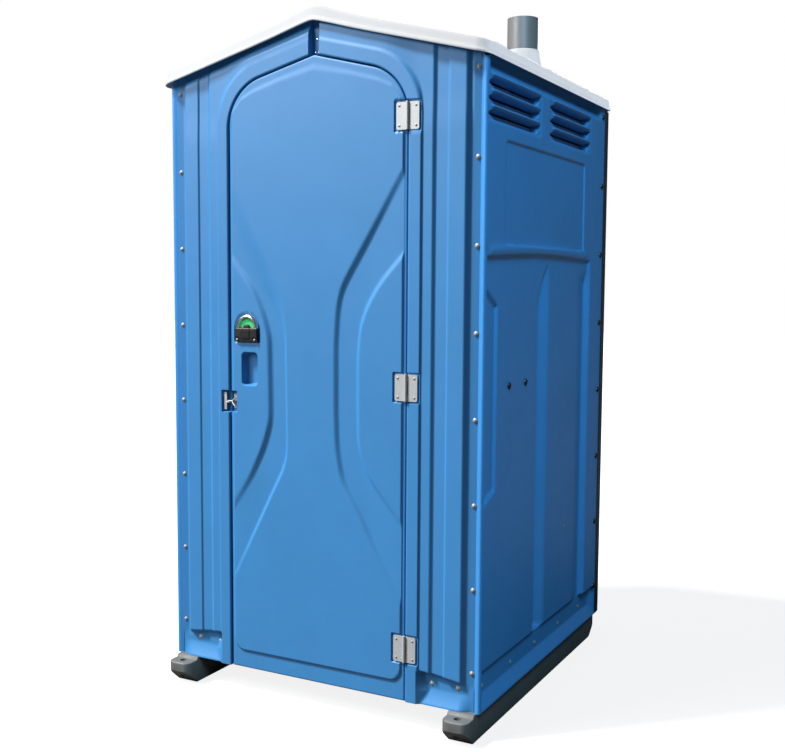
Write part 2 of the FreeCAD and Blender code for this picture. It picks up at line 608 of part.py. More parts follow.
# plate with a rounded head over a square block
hd = 41.5
outline = [("L", (lx - hd, lz - 51.0), (lx + hd, lz - 51.0)), ("L", (lx + hd, lz - 51.0), (lx + hd, lz + 8.5)),
           ("A", (lx + hd, lz + 8.5), (lx, lz + 50.0), (lx - hd, lz + 8.5)), ("L", (lx - hd, lz + 8.5), (lx - hd, lz - 51.0))]
pad(b, "XZ_Plane", FACE - 4, FACE, outline)
pad(b, "XZ_Plane", FACE - 9, FACE - 3, fillet_poly([(lx - 40, lz - 46), (lx + 40, lz - 46), (lx + 40, lz - 3), (lx - 40, lz - 3)], 4.0))
rim_r, win_r = 36.0, 28.5
pad(b, "XZ_Plane", FACE - 7, FACE - 3, [("A", (lx + rim_r, lz), (lx, lz + rim_r), (lx - rim_r, lz)), ("L", (lx - rim_r, lz), (lx + rim_r, lz))])
pocket(b, "XZ_Plane", FACE - 10, FACE + 1, [("A", (lx + win_r, lz + 1), (lx, lz + 1 + win_r), (lx - win_r, lz + 1)), ("L", (lx - win_r, lz + 1), (lx + win_r, lz + 1))])
# indicator disc in two half discs, on the spindle's front end
for name, a0 in (("indicator_vacant", 1), ("indicator_occupied", -1)):
    b = body(name)
    r = 31.0
    pad(b, "XZ_Plane", FACE + 1, FACE + 3.5, [("A", (lx + r, lz), (lx, lz + a0 * r), (lx - r, lz)), ("L", (lx - r, lz), (lx + r, lz))])
sp = cyl("spindle", D("spindle_r"), INNER + 24 - (FACE + 3.5), Placement(Vector(lx, FACE.v + 3.5, lz), ALONG_Y))
keep(sp, "latch_spindle")
b = body("latch_inner_plate")
pad(b, "XZ_Plane", INNER, INNER + 3, fillet_poly([(lx - 36, lz - 50), (lx + 36, lz - 50), (lx + 36, lz + 50), (lx - 36, lz + 50)], 10.0))
pocket(b, "XZ_Plane", INNER - 1, INNER + 4, ring(LX, LZ, D("spindle_r") + D("run_gap")))
b = body("latch_lever")
pad(b, "XZ_Plane", INNER + 3.3, INNER + 16, ring(LX, LZ, 15.0))
pad(b, "XZ_Plane", INNER + 8.5, INNER + 16, fillet_poly([(lx, lz - 11), (lx + 98, lz - 11), (lx + 98, lz + 11), (lx, lz + 11)], [0, 8, 8, 0]))
pad(b, "XZ_Plane", INNER + 15, INNER + 34, fillet_poly([(lx - 34, lz - 7), (lx + 34, lz - 7), (lx + 34, lz + 7), (lx - 34, lz + 7)], 6.0))
pocket(b, "XZ_Plane", INNER + 3, INNER + 24, ring(LX, LZ, D("spindle_r")))
b = body("latch_strike")
pad(b, "XZ_Plane", STOP + 5, STOP + 7, fillet_poly([(-345.0, lz - 30), (-307.0, lz - 30), (-307.0, lz + 30), (-345.0, lz + 30)], 4.0))

# ------------------------------------------------------- padlock brackets
b = body("padlock_bracket_jamb")
floor_y = FACE + 18
pad(b, "XZ_Plane", floor_y - 2.5, floor_y, box2(-362.0, 921.0, -324.0, 977.0))
pad(b, "XZ_Plane", FACE + 1, floor_y - 2, box2(-354.0, 944.0, -322.0, 947.0))
pocket(b, "XY_Plane", 943.0, 948.0, ring(-338.0, FACE + 8, 5.0))
b = body("padlock_bracket_door")
pad(b, "XZ_Plane", floor_y - 2.5, floor_y, box2(-312.0, 925.0, -290.0, 973.0))
pad(b, "XZ_Plane", FACE + 1, floor_y - 4, box2(-352.0, 947.8, -296.0, 950.8))
pad(b, "XZ_Plane", floor_y - 5, floor_y - 2, box2(-311.0, 947.8, -296.0, 950.8))
pocket(b, "XY_Plane", 947.0, 952.0, ring(-338.0, FACE + 8, 5.0))

# ------------------------------------------------------------- waste tank
b = body("holding_tank")
tf, ts, td, tr = D("tank_front").v, D("tank_step").v, D("tank_deck").v, D("tank_rear_deck").v
tb = BY.v - 18 - 6.9
th = 518.0
zf = LIP.v + D("floor_deck").v + 0.2
outer = fillet_poly([(tf - 25, zf), (tb, zf), (tb, tr), (ts, tr), (ts - 12, td), (tf, td)], [8, 8, 14, 14, 8, 26])
inner = fillet_poly([(tf - 19, zf + 6), (tb - 6, zf + 6), (tb - 6, tr - 6), (ts + 5, tr - 6), (ts - 7, td - 6), (tf + 5, td - 6)], [4, 4, 9, 9, 8, 20])
pad(b, "YZ_Plane", -th, th, outer)
pocket(b, "YZ_Plane", -(th - 6), th - 6, inner)
pocket(b, "XY_Plane", td - 10, td + 1, oval(D("seat_x"), D("seat_y") - 6, 118.0, 142.0))
pocket(b, "XY_Plane", tr - 10, tr + 1, ring(D("pipe_x"), D("pipe_y"), D("pipe_bore")))
pocket(b, "XY_Plane", td - 10, td + 1, ring(-495.0, 60.0, 17.0))

# ------------------------------------------------------------ seat and lid
sx, sy = D("seat_x").v, D("seat_y").v
b = body("toilet_seat")
pad(b, "XY_Plane", D("tank_deck"), D("tank_deck") + 22, oval(sx, sy, 186.0, 184.0))
pocket(b, "XY_Plane", D("tank_deck") - 1, D("tank_deck") + 23, oval(sx, sy - 6, 112.0, 136.0))
pin_y, pin_z = 398.0, 537.0
for x in (-150.0, 30.0):
    pad(b, "XY_Plane", D("tank_deck"), 528.0, box2(x - 15, 350.0, x + 15, 404.0))
    pad(b, "YZ_Plane", x - 15.0, x - 6.0, fillet_poly([(388.0, 524.0), (408.0, 524.0), (408.0, 545.0), (388.0, 545.0)], [0, 0, 8, 8]))
    pad(b, "YZ_Plane", x + 6.0, x + 15.0, fillet_poly([(388.0, 524.0), (408.0, 524.0), (408.0, 545.0), (388.0, 545.0)], [0, 0, 8, 8]))
pocket(b, "YZ_Plane", -200.0, 80.0, ring(pin_y, pin_z, 4.05))
b = body("seat_lid")
pad(b, "XY_Plane", 533.0, 545.0, oval(sx, sy - 3, 190.0, 184.0))
pocket(b, "XY_Plane", 532.0, 546.0, box2(-190.0, 380.0, 70.0, 410.0))
for x in (-150.0, 30.0):
    pad(b, "YZ_Plane", x - 5.6, x + 5.6, poly([(320.0, 533.0), (pin_y - 2.0, 531.7), (pin_y - 2.0, 544.0), (320.0, 545.0)]))
    pad(b, "YZ_Plane", x - 5.6, x + 5.6, ring(pin_y, pin_z, 7.5))
pocket(b, "YZ_Plane", -200.0, 80.0, ring(pin_y, pin_z, 4.0 + 0.05))
pins = []
for x in (-150.0, 30.0):
    pins.append(cyl("lid_pin", 4.0, 31.0, Placement(Vector(x - 15.5, pin_y, pin_z), ALONG_X)))
comp = doc.addObject("Part::Compound", uname("lid_pins"))
comp.Links = pins
keep(comp, "lid_hinge_pins")

# ------------------------------------------------------------------ urinal
b = body("urinal")
uy0, uy1 = -60.0, 130.0
wx = W2.v - 17.3
pad(b, "XZ_Plane", uy0, uy1, poly([(-wx, 700.0), (-wx + 64, 700.0), (-wx + 160, 806.0), (-wx + 160, 870.0), (-wx + 6, 870.0), (-wx + 6, 1010.0), (-wx, 1010.0)]))
pocket(b, "XZ_Plane", uy0 + 6, uy1 - 6, poly([(-wx + 6, 708.0), (-wx + 60, 708.0), (-wx + 153, 810.0), (-wx + 153, 871.0), (-wx + 6, 871.0)]))
pocket(b, "XY_Plane", 699.0, 709.0, ring(-495.0, 60.0, 16.0))
at = Placement(Vector(-495.0, 60.0, D("tank_deck").v), UP)
keep(cut("drain", cyl("drain_outer", 20.0, 190.0, at), cyl("drain_inner", 17.0, 190.0, at)), "urinal_drain_pipe")

# ------------------------------------------------------------ paper holder
b = body("paper_holder_bracket")
hz = D("holder_z").v
wx = W2.v - 17.2
ya, yb = -329.0, -152.0
pad(b, "XY_Plane", hz - 25, hz + 25, box2(wx - 3, ya, wx, yb))
for y in (ya, yb - 3):
    pad(b, "XZ_Plane", y, y + 3, fillet_poly([(wx - 108, hz - 14), (wx - 1, hz - 25), (wx - 1, hz + 25), (wx - 108, hz + 14)], [12, 0, 0, 12]))
pocket(b, "XZ_Plane", ya - 1, yb + 1, ring(wx - 92, hz, D("rod_r") + D("run_gap")))
rx = wx - 92
rod = cyl("rod", D("rod_r"), yb - ya + 6.0, Placement(Vector(rx, ya - 3.0, hz), ALONG_Y))
k1 = cyl("rod_knob", 10.0, 4.0, Placement(Vector(rx, ya - 4.4, hz), ALONG_Y))
k2 = cyl("rod_knob", 10.0, 4.0, Placement(Vector(rx, yb + 0.4, hz), ALONG_Y))
keep(fuse("rod_fused", [rod, k1, k2]), "paper_spindle")

# --------------------------------------------------------------- coat hook
b = body("coat_hook")
wx6 = W2.v - WALL.v - 0.2
pad(b, "YZ_Plane", wx6 - 3, wx6, fillet_poly([(-272.0, 1560.0), (-248.0, 1560.0), (-248.0, 1620.0), (-272.0, 1620.0)], 5.0))
pad(b, "XZ_Plane", -266.0, -254.0, poly([(wx6 - 2, 1566.0), (wx6 - 2, 1574.0), (wx6 - 30, 1572.0), (wx6 - 38, 1596.0), (wx6 - 44, 1594.0), (wx6 - 36, 1564.0)]))


# -------------------------------------------------------------- fasteners
def rivet(head_r, head_h, shank_r, shank_l, pos, direction):
    """Domed rivet: flange and dome outside, shank along -direction."""
    dome = Part.makeCone(head_r, head_r * 0.62, head_h * 0.5)
    dome = dome.fuse(Part.makeCone(head_r * 0.62, head_r * 0.30, head_h * 0.5, Vector(0, 0, head_h * 0.5)))
    shank = Part.makeCylinder(shank_r, shank_l + 0.5, Vector(0, 0, -shank_l))
    sh = dome.fuse(shank).removeSplitter()
    sh.Placement = Placement(Vector(*pos), Rotation(Vector(0, 0, 1), Vector(*direction)))
    return sh


def group(label, shapes):
    f = doc.addObject("Part::Feature", label)
    f.Shape = Part.makeCompound(shapes)
    return keep(f, label)


ROWS = [D("rivet_low").v + k * D("rivet_pitch").v for k in range(8)]
RR = D("rivet_r").v
fx = 523.5
group("front_rivets", [rivet(RR, 3.6, 2.4, 12.0, (s * fx, FY.v, z), (0, -1, 0)) for s in (-1, 1) for z in ROWS])
group("rear_rivets", [rivet(RR, 3.6, 2.4, 12.0, (s * W2.v, BY.v - 54.0, z), (s, 0, 0)) for s in (-1, 1) for z in ROWS])
base_set = [rivet(RR, 3.6, 2.4, 12.0, (x, FY.v, 148.0), (0, -1, 0)) for x in (-462.0, -378.0, 396.0, 480.0)]
for s in (-1, 1):
    for y in (-462.0, -238.0, -26.0, 203.0, 422.0):
        base_set.append(rivet(RR, 3.6, 2.4, 12.0, (s * (W2.v - 20), y, 148.0), (s, 0, 0)))
for x in (-400.0, -200.0, 0.0, 200.0, 400.0):
    base_set.append(rivet(RR, 3.6, 2.4, 12.0, (x, BY.v - 12, 150.0), (0, 1, 0)))
group("base_rivets", base_set)
tank_set = []
for s in (-1, 1):
    for y, z in ((222.0, 488.0), (437.0, 561.0)):
        tank_set.append(rivet(RR, 3.6, 2.4, 30.0, (s * (W2.v - 11), y, z), (s, 0, 0)))
group("tank_rivets", tank_set)
strap = []
group("hinge_rivets_frame", [rivet(4.2, 2.0, 2.0, 6.0, (HX.v + 27.0, LEAF0.v, hz + dz), (0, -1, 0)) for _, hz in HINGE_Z for dz in (-28.0, 28.0)])
group("hinge_rivets_door", [rivet(4.2, 2.0, 2.0, 6.0, (HX.v - 27.0, LEAF0.v, hz + dz), (0, -1, 0)) for _, hz in HINGE_Z for dz in (-28.0, 28.0)])
group("latch_screws", [rivet(4.0, 1.6, 1.8, 16.0, (lx + dx, FACE.v - 9.0, lz - 39.0), (0, -1, 0)) for dx in (-33.0, 33.0)])
bolts = []
for y in (-307.0, -171.0):
    bolts.append(rivet(8.0, 4.0, 3.5, 12.0, (W2.v - 11, y, D("holder_z").v), (1, 0, 0)))
group("holder_bolts", bolts)
nuts = []
for s in (-1, 1):
    for y in (-420.0, -230.0, -40.0):
        shank = Part.makeCylinder(5.0, 60.0, Vector(s * 500.0, y, 38.0))
        hexa = Part.makeCylinder(11.0, 5.0, Vector(s * 500.0, y, 97.0))
        nuts.append(shank.fuse(hexa).removeSplitter())
group("skid_bolts", nuts)

group("urinal_screws", [rivet(5.0, 2.0, 2.0, 9.0, (-W2.v + 17.3 + 6.0, y, z), (1, 0, 0)) for y in (-35.0, 105.0) for z in (900.0, 985.0)])

# header splice: a plate across the two jamb halves with three rivets
b = body("header_splice")
pad(b, "XZ_Plane", FY - 3, FY, box2(-14.0, 2005.0, 14.0, 2080.0))
group("header_rivets", [rivet(4.5, 2.6, 2.0, 7.0, (x, FY.v - 3.0, z), (0, -1, 0)) for x, z in ((0.0, 2050.0), (-6.5, 2011.0), (6.5, 2011.0))])

# ------------------------------------------------------------------ write
doc.recompute()
bad = []
for o in doc.Objects:
    if "Invalid" in o.State or "Error" in o.State:
        bad.append(o.Label)
if bad:
    raise RuntimeError("failed objects: " + ", ".join(bad))
os.makedirs("parts", exist_ok=True)
labels = set()
for o in PIECES:
    sh = o.Shape
    if sh.isNull() or not sh.isValid() or len(sh.Solids) == 0:
        raise RuntimeError("bad shape: " + o.Label)
    if o.Label in labels:
        raise RuntimeError("label used twice: " + o.Label)
    labels.add(o.Label)
    sh.exportStep("parts/%s.step" % o.Label)
    bb = sh.BoundBox
    print("%-26s solids %2d  vol %11.0f  x %8.1f %8.1f  y %8.1f %8.1f  z %8.1f %8.1f" % (
        o.Label, len(sh.Solids), sh.Volume, bb.XMin, bb.XMax, bb.YMin, bb.YMax, bb.ZMin, bb.ZMax))
print(len(PIECES), "pieces")
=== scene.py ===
import bpy, bmesh, math
import numpy as np
from mathutils import Matrix, Vector

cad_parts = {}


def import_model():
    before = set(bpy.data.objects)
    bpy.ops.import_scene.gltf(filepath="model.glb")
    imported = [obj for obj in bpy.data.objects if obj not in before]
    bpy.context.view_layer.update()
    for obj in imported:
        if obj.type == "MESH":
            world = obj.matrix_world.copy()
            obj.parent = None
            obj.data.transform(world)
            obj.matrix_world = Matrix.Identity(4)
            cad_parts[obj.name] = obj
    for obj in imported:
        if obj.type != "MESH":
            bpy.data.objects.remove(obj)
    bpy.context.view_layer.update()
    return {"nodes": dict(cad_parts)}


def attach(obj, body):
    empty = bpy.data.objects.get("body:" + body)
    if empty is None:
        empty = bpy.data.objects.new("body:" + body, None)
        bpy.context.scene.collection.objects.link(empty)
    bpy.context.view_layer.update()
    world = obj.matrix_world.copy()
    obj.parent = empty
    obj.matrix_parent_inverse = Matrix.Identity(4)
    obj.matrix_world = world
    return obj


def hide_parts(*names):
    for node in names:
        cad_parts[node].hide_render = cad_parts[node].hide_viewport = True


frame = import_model()
scene = bpy.context.scene
scene.view_settings.view_transform = "Standard"
scene.view_settings.look = "None"

# ------------------------------------------------------------- dimensions
# millimetres, in the frame of the CAD model; converted once in make()
FY, FACE, STOP, SPLIT, INNER = -515.5, -541.5, -502.8, -517.0, -503.5
BY, W2, BASE, LIP = 589.5, 552.5, 84.0, 85.0
HALF, PEAK, ARC, SL, GAP = 314.0, 2000.0, 155.0, 0.2555, 4.0
ANG = math.atan(SL)
CX = HALF - ARC
CZ = PEAK - SL * HALF - ARC * math.tan((math.pi / 2 - ANG) / 2)
ROOF_TOP = 2135.0
LX, LZ = -246.0, 1186.0
HINGES = (245.0, 1024.0, 1802.0)


def roof_under(x):
    return ROOF_TOP - 6.2 - SL * np.abs(x)


# -------------------------------------------------------------- camera
def make_camera():
    yaw, pitch, roll = math.radians(28.093), math.radians(4.985), math.radians(0.331)
    c = Vector((1.7364, -3.2828, 1.3337))
    fw = Vector((-math.sin(yaw), math.cos(yaw), 0))
    rt = Vector((math.cos(yaw), math.sin(yaw), 0))
    up = Vector((0, 0, 1))
    f2 = fw * math.cos(pitch) - up * math.sin(pitch)
    u2 = up * math.cos(pitch) + fw * math.sin(pitch)
    r2 = rt * math.cos(roll) + u2 * math.sin(roll)
    u3 = u2 * math.cos(roll) - rt * math.sin(roll)
    cd = bpy.data.cameras.new("camera")
    cd.sensor_width, cd.sensor_fit = 36.0, "HORIZONTAL"
    cd.lens = 1068.955 * 36.0 / 785.0
    cd.shift_x = (392.5 - 392.95) / 785.0
    cd.shift_y = (374.13 - 376.0) / 785.0
    o = bpy.data.objects.new("camera", cd)
    scene.collection.objects.link(o)
    o.matrix_world = Matrix(((r2.x, u3.x, -f2.x, c.x), (r2.y, u3.y, -f2.y, c.y), (r2.z, u3.z, -f2.z, c.z), (0, 0, 0, 1)))
    scene.camera = o


make_camera()


# ------------------------------------------------------------- materials
class Net:
    """Small helper that builds a node material."""

    def __init__(self, name):
        self.m = bpy.data.materials.new(name)
        self.m.use_nodes = True
        self.t = self.m.node_tree
        self.t.nodes.clear()
        self.out = self.n("ShaderNodeOutputMaterial")
        self.b = self.n("ShaderNodeBsdfPrincipled")
        self.link(self.b.outputs[0], self.out.inputs[0])
        self.co = self.n("ShaderNodeTexCoord").outputs["Object"]

    def n(self, kind, **kw):
        o = self.t.nodes.new(kind)
        for k, v in kw.items():
            setattr(o, k, v)
        return o

    def link(self, a, b):
        self.t.links.new(a, b)

    def noise(self, scale, detail=2.0, rough=0.5, vec=None, stretch=None):
        v = vec or self.co
        if stretch:
            mp = self.n("ShaderNodeMapping")
            mp.inputs["Scale"].default_value = stretch
            self.link(v, mp.inputs["Vector"])
            v = mp.outputs[0]
        o = self.n("ShaderNodeTexNoise")
        o.inputs["Scale"].default_value = scale
        o.inputs["Detail"].default_value = detail
        o.inputs["Roughness"].default_value = rough
        self.link(v, o.inputs["Vector"])
        return o.outputs["Fac"]

    def ramp(self, fac, stops):
        o = self.n("ShaderNodeValToRGB")
        e = o.color_ramp.elements
        e[0].position, e[0].color = stops[0][0], (*stops[0][1], 1)
        e[1].position, e[1].color = stops[-1][0], (*stops[-1][1], 1)
        for p, c in stops[1:-1]:
            x = e.new(p)
            x.color = (*c, 1)
        self.link(fac, o.inputs[0])
        return o.outputs[0]

    def span(self, fac, a, b, lo, hi):
        o = self.n("ShaderNodeMapRange")
        for k, v in (("From Min", lo), ("From Max", hi), ("To Min", a), ("To Max", b)):
            o.inputs[k].default_value = v
        self.link(fac, o.inputs["Value"])
        return o.outputs[0]

    def math(self, op, a, b):
        o = self.n("ShaderNodeMath", operation=op)
        for i, v in enumerate((a, b)):
            if isinstance(v, (int, float)):
                o.inputs[i].default_value = v
            else:
                self.link(v, o.inputs[i])
        return o.outputs[0]

    def mix(self, fac, a, b, mode="MIX"):
        o = self.n("ShaderNodeMix", data_type="RGBA", blend_type=mode)
        for i, v in ((0, fac), (6, a), (7, b)):
            if isinstance(v, (int, float)):
                o.inputs[i].default_value = v
            elif isinstance(v, tuple):
                o.inputs[i].default_value = (*v, 1)
            else:
                self.link(v, o.inputs[i])
        return o.outputs[2]

    def bump(self, height, strength, dist):
        o = self.n("ShaderNodeBump")
        o.inputs["Strength"].default_value = strength
        o.inputs["Distance"].default_value = dist
        self.link(height, o.inputs["Height"])
        self.link(o.outputs[0], self.b.inputs["Normal"])

    def set(self, **kw):
        for k, v in kw.items():
            s = self.b.inputs[k.replace("_", " ")]
            if isinstance(v, (int, float)):
                s.default_value = v
            elif isinstance(v, tuple):
                s.default_value = (*v, 1) if len(v) == 3 and s.type == "RGBA" else v
            else:
                self.link(v, s)


def plastic(name, col, spread=0.06, rough=(0.36, 0.5), peel=0.10, peel_scale=260.0, streak=0.04, spec=0.5, low_darkening=0.0):
    """Moulded polyethylene: mottled colour, faint vertical streaks, orange peel."""
    k = Net(name)
    lo = tuple(c * (1 - spread) for c in col)
    hi = tuple(min(1.0, c * (1 + spread)) for c in col)
    base = k.ramp(k.noise(5.0, 3.0, 0.55), [(0.3, lo), (0.7, hi)])
    st = k.noise(9.0, 2.0, 0.5, stretch=(6.0, 6.0, 0.35))
    dark = tuple(c * (1 - streak * 2.2) for c in col)
    base = k.mix(k.span(st, 0.0, streak * 6, 0.35, 0.75), base, dark)
    # base colour darker towards the bottom, in noisy patches below 0.42 m
    if low_darkening:
        sep = k.n("ShaderNodeSeparateXYZ")
        k.link(k.co, sep.inputs[0])
        low = k.span(sep.outputs[2], 1.0, 0.0, 0.06, 0.42)
        low_dark_patches = k.math("MULTIPLY", low, k.span(k.noise(14.0, 5.0, 0.65), 0.0, low_darkening, 0.42, 0.72))
        base = k.mix(low_dark_patches, base, tuple(c * 0.55 + 0.03 for c in col))
    k.set(Base_Color=base, Roughness=k.span(k.noise(22.0, 3.0, 0.6), rough[0], rough[1], 0.3, 0.7), Specular_IOR_Level=spec)
    fine = k.noise(peel_scale, 3.0, 0.6)
    k.bump(fine, peel, 0.0006)
    return k.m


def metal(name, col, rough=(0.25, 0.42), brushed=(1, 1, 30), scale=60.0, wear=0.25, metallic=1.0):
    k = Net(name)
    a = k.noise(scale, 3.0, 0.6, stretch=brushed)
    base = k.ramp(a, [(0.3, tuple(c * 0.82 for c in col)), (0.7, tuple(min(1.0, c * 1.06) for c in col))])
    spots = k.noise(180.0, 4.0, 0.7)
    base = k.mix(k.span(spots, 0.0, wear, 0.55, 0.75), base, tuple(c * 0.45 for c in col))
    k.set(Base_Color=base, Metallic=metallic, Roughness=k.span(a, rough[0], rough[1], 0.3, 0.7))
    k.bump(a, 0.12, 0.0002)
    return k.m


BLUE = plastic("blue_polyethylene", (0.032, 0.181, 0.422), 0.035, (0.45, 0.51), 0.12, 260.0, 0.03, 0.45, 0.25)
BLUE_IN = plastic("blue_inner_sheet", (0.040, 0.185, 0.42), 0.06, (0.48, 0.58), 0.16, 200.0, 0.03, 0.4, 0.3)
WHITE = plastic("white_roof_sheet", (0.60, 0.615, 0.64), 0.03, (0.44, 0.55), 0.10, 220.0, 0.02, 0.45)
SKID = plastic("skid_plastic", (0.084, 0.079, 0.074), 0.22, (0.5, 0.7), 0.5, 120.0, 0.06, 0.4, 0.2)
TANK = plastic("tank_polyethylene", (0.20, 0.21, 0.225), 0.10, (0.42, 0.6), 0.25, 180.0, 0.05, 0.4)
PIPE = plastic("pipe_plastic", (0.141, 0.129, 0.126), 0.05, (0.32, 0.45), 0.06, 300.0, 0.05, 0.5)
BLACK = plastic("black_moulded_plastic", (0.008, 0.008, 0.009), 0.25, (0.40, 0.55), 0.20, 400.0, 0.05, 0.4)
GREY = plastic("light_grey_plastic", (0.42, 0.43, 0.44), 0.06, (0.35, 0.5), 0.15, 260.0, 0.04, 0.5)
GREEN = plastic("vacant_green_enamel", (0.045, 0.42, 0.135), 0.05, (0.25, 0.35), 0.05, 300.0, 0.02, 0.5)
RED = plastic("occupied_red_enamel", (0.55, 0.03, 0.025), 0.05, (0.25, 0.35), 0.05, 300.0, 0.02, 0.5)
STEEL = metal("zinc_plated_steel", (0.45, 0.465, 0.475), (0.44, 0.56), (1, 1, 14), 70.0, 0.16, 0.35)
RIVET = metal("rivet_aluminium", (0.27, 0.265, 0.255), (0.48, 0.6), (1, 1, 1), 200.0, 0.3, 0.4)
CHROME = metal("chromed_steel", (0.78, 0.78, 0.78), (0.16, 0.28), (1, 1, 1), 120.0, 0.2)
DARKMETAL = metal("blackened_steel", (0.05, 0.05, 0.055), (0.35, 0.5), (1, 1, 1), 200.0, 0.3)


# ------------------------------------------------------------- mesh tools
def S(t):
    t = np.clip(t, 0.0, 1.0)
    return t * t * (3 - 2 * t)


def rbox(x, z, cx, cz, hx, hz, r):
    """Signed distance to a rounded rectangle, negative inside."""
    qx = np.abs(x - cx) - (hx - r)
    qz = np.abs(z - cz) - (hz - r)
    return np.hypot(np.maximum(qx, 0), np.maximum(qz, 0)) + np.minimum(np.maximum(qx, qz), 0) - r


def over(d, r):
    """How far a rounded edge of radius r drops at a distance d from it."""
    t = np.clip(r - d, 0.0, r)
    return r - np.sqrt(np.maximum(r * r - t * t, 0.0))


def lines(*parts, tol=0.35):
    """Sorted grid lines with near duplicates removed."""
    a = np.sort(np.concatenate([np.atleast_1d(np.asarray(p, float)) for p in parts]))
    keep = [a[0]]
    for v in a[1:]:
        if v - keep[-1] >= tol:
            keep.append(v)
    keep[-1] = a[-1]
    return np.array(keep)


def ar(a, b, step):
    n = max(1, int(round((b - a) / step)))
    return np.linspace(a, b, n + 1)


class Soup:
    """Vertices and faces of one piece, collected in millimetres."""

    def __init__(self):
        self.v, self.f, self.n = [], [], 0

    def add(self, v, f):
        v = np.asarray(v, float).reshape(-1, 3)
        self.v.append(v)
        self.f += [tuple(int(i) + self.n for i in q) for q in f]
        self.n += len(v)

    def grid(self, P, wrap=False):
        n, m = P.shape[:2]
        f = []
        for i in range(n - 1):
            for j in range(m if wrap else m - 1):
                k = (j + 1) % m
                f.append((i * m + j, i * m + k, (i + 1) * m + k, (i + 1) * m + j))
        self.add(P.reshape(-1, 3), f)

    def loft(self, P, flip=False):
        """Closed rings P[n, m, 3] joined to a tube with capped ends."""
        n, m = P.shape[:2]
        f = []
        for i in range(n - 1):
            for j in range(m):
                k = (j + 1) % m
                f.append((i * m + j, i * m + k, (i + 1) * m + k, (i + 1) * m + j))
        f.append(tuple(range(m - 1, -1, -1)))
        f.append(tuple((n - 1) * m + j for j in range(m)))
        if flip:
            f = [q[::-1] for q in f]
        self.add(P.reshape(-1, 3), f)

    def shell(self, grids, flip=False):
        """Sheets given as (front, back, mask) grids, welded together and closed round their edges."""
        V, Bk, Q = [], [], []
        n0 = 0
        for F, Bc, mask in grids:
            n, m = F.shape[:2]
            idx = np.arange(n * m).reshape(n, m) + n0
            q = np.stack([idx[:-1, :-1], idx[:-1, 1:], idx[1:, 1:], idx[1:, :-1]], -1).reshape(-1, 4)
            if mask is not None:
                q = q[mask.reshape(-1)]
            V.append(F.reshape(-1, 3)); Bk.append(Bc.reshape(-1, 3)); Q.append(q)
            n0 += n * m
        V, Bk, Q = np.concatenate(V), np.concatenate(Bk), np.concatenate(Q)
        key = np.round(V * 200).astype(np.int64)
        _, first, inv = np.unique(key, axis=0, return_index=True, return_inverse=True)
        inv = inv.reshape(-1)
        V, Bk, Q = V[first], Bk[first], inv[Q]
        keep = np.array([len(set(q)) >= 3 for q in Q.tolist()])
        Q = Q[keep]
        used = np.unique(Q)
        remap = -np.ones(len(V), int); remap[used] = np.arange(len(used))
        V, Bk, Q = V[used], Bk[used], remap[Q]
        N = len(V)
        faces = []
        for q in Q.tolist():
            c = [q[i] for i in range(4) if q[i] != q[i - 1]]
            faces.append(c)
        e = set()
        for c in faces:
            for i in range(len(c)):
                e.add((c[i], c[(i + 1) % len(c)]))
        rim = [(a, b) for a, b in e if (b, a) not in e]
        out = [tuple(c) for c in faces] + [tuple(x + N for x in reversed(c)) for c in faces]
        out += [(b, a, a + N, b + N) for a, b in sorted(rim)]
        if flip:
            out = [q[::-1] for q in out]
        self.add(np.concatenate([V, Bk]), out)

    def mirror_x(self):
        s = Soup()
        v = np.concatenate(self.v) * np.array([-1.0, 1.0, 1.0])
        s.add(v, [q[::-1] for q in self.f])
        return s

    def turn(self, pts, cx, cy, seg=48, cap=True):
        """Body of revolution about a vertical axis from (r, z) points."""
        a = np.arange(seg) * 2 * math.pi / seg
        P = np.array([[(cx + r * math.cos(t), cy + r * math.sin(t), z) for t in a] for r, z in pts])
        n, m = P.shape[:2]
        f = []
        for i in range(n - 1):
            for j in range(m):
                k = (j + 1) % m
                f.append((i * m + j, i * m + k, (i + 1) * m + k, (i + 1) * m + j))
        self.add(P.reshape(-1, 3), f)


def make(name, soup, body, nodes, mat, angle=38.0, recalc=False):
    v = np.concatenate(soup.v) * 0.001
    me = bpy.data.meshes.new(name)
    me.from_pydata(v.tolist(), [], soup.f)
    me.validate()
    if recalc:
        bm = bmesh.new(); bm.from_mesh(me)
        bmesh.ops.recalc_face_normals(bm, faces=bm.faces)
        bm.to_mesh(me); bm.free()
    me.polygons.foreach_set("use_smooth", [True] * len(me.polygons))
    me.set_sharp_from_angle(angle=math.radians(angle))
    me.materials.append(mat)
    o = bpy.data.objects.new(name, me)
    scene.collection.objects.link(o)
    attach(o, body)
    if nodes:
        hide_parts(*nodes)
    return o


class Line:
    """A smooth line x(z) through measured points, with true distances to it."""

    def __init__(self, pts, sigma=22.0):
        p = sorted((z, x) for x, z in pts)
        z = np.array([q[0] for q in p]); x = np.array([q[1] for q in p])
        zz = np.arange(-200, 2401, 1.0)
        xx = np.interp(zz, z, x)
        s0, s1 = (x[1] - x[0]) / (z[1] - z[0]), (x[-1] - x[-2]) / (z[-1] - z[-2])
        xx = np.where(zz < z[0], x[0] + (zz - z[0]) * s0, xx)
        xx = np.where(zz > z[-1], x[-1] + (zz - z[-1]) * s1, xx)
        k = np.exp(-0.5 * (np.arange(-70, 71) / sigma) ** 2); k /= k.sum()
        pad = np.concatenate([xx[0] + (xx[1] - xx[0]) * np.arange(-70, 0), xx, xx[-1] + (xx[-1] - xx[-2]) * np.arange(1, 71)])
        self.zz, self.xx = zz, np.convolve(pad, k, "valid")
        self.c = 1 / np.sqrt(1 + np.gradient(self.xx) ** 2)

    def to(self, x, z):
        return (x - np.interp(z, self.zz, self.xx)) * np.interp(z, self.zz, self.c)


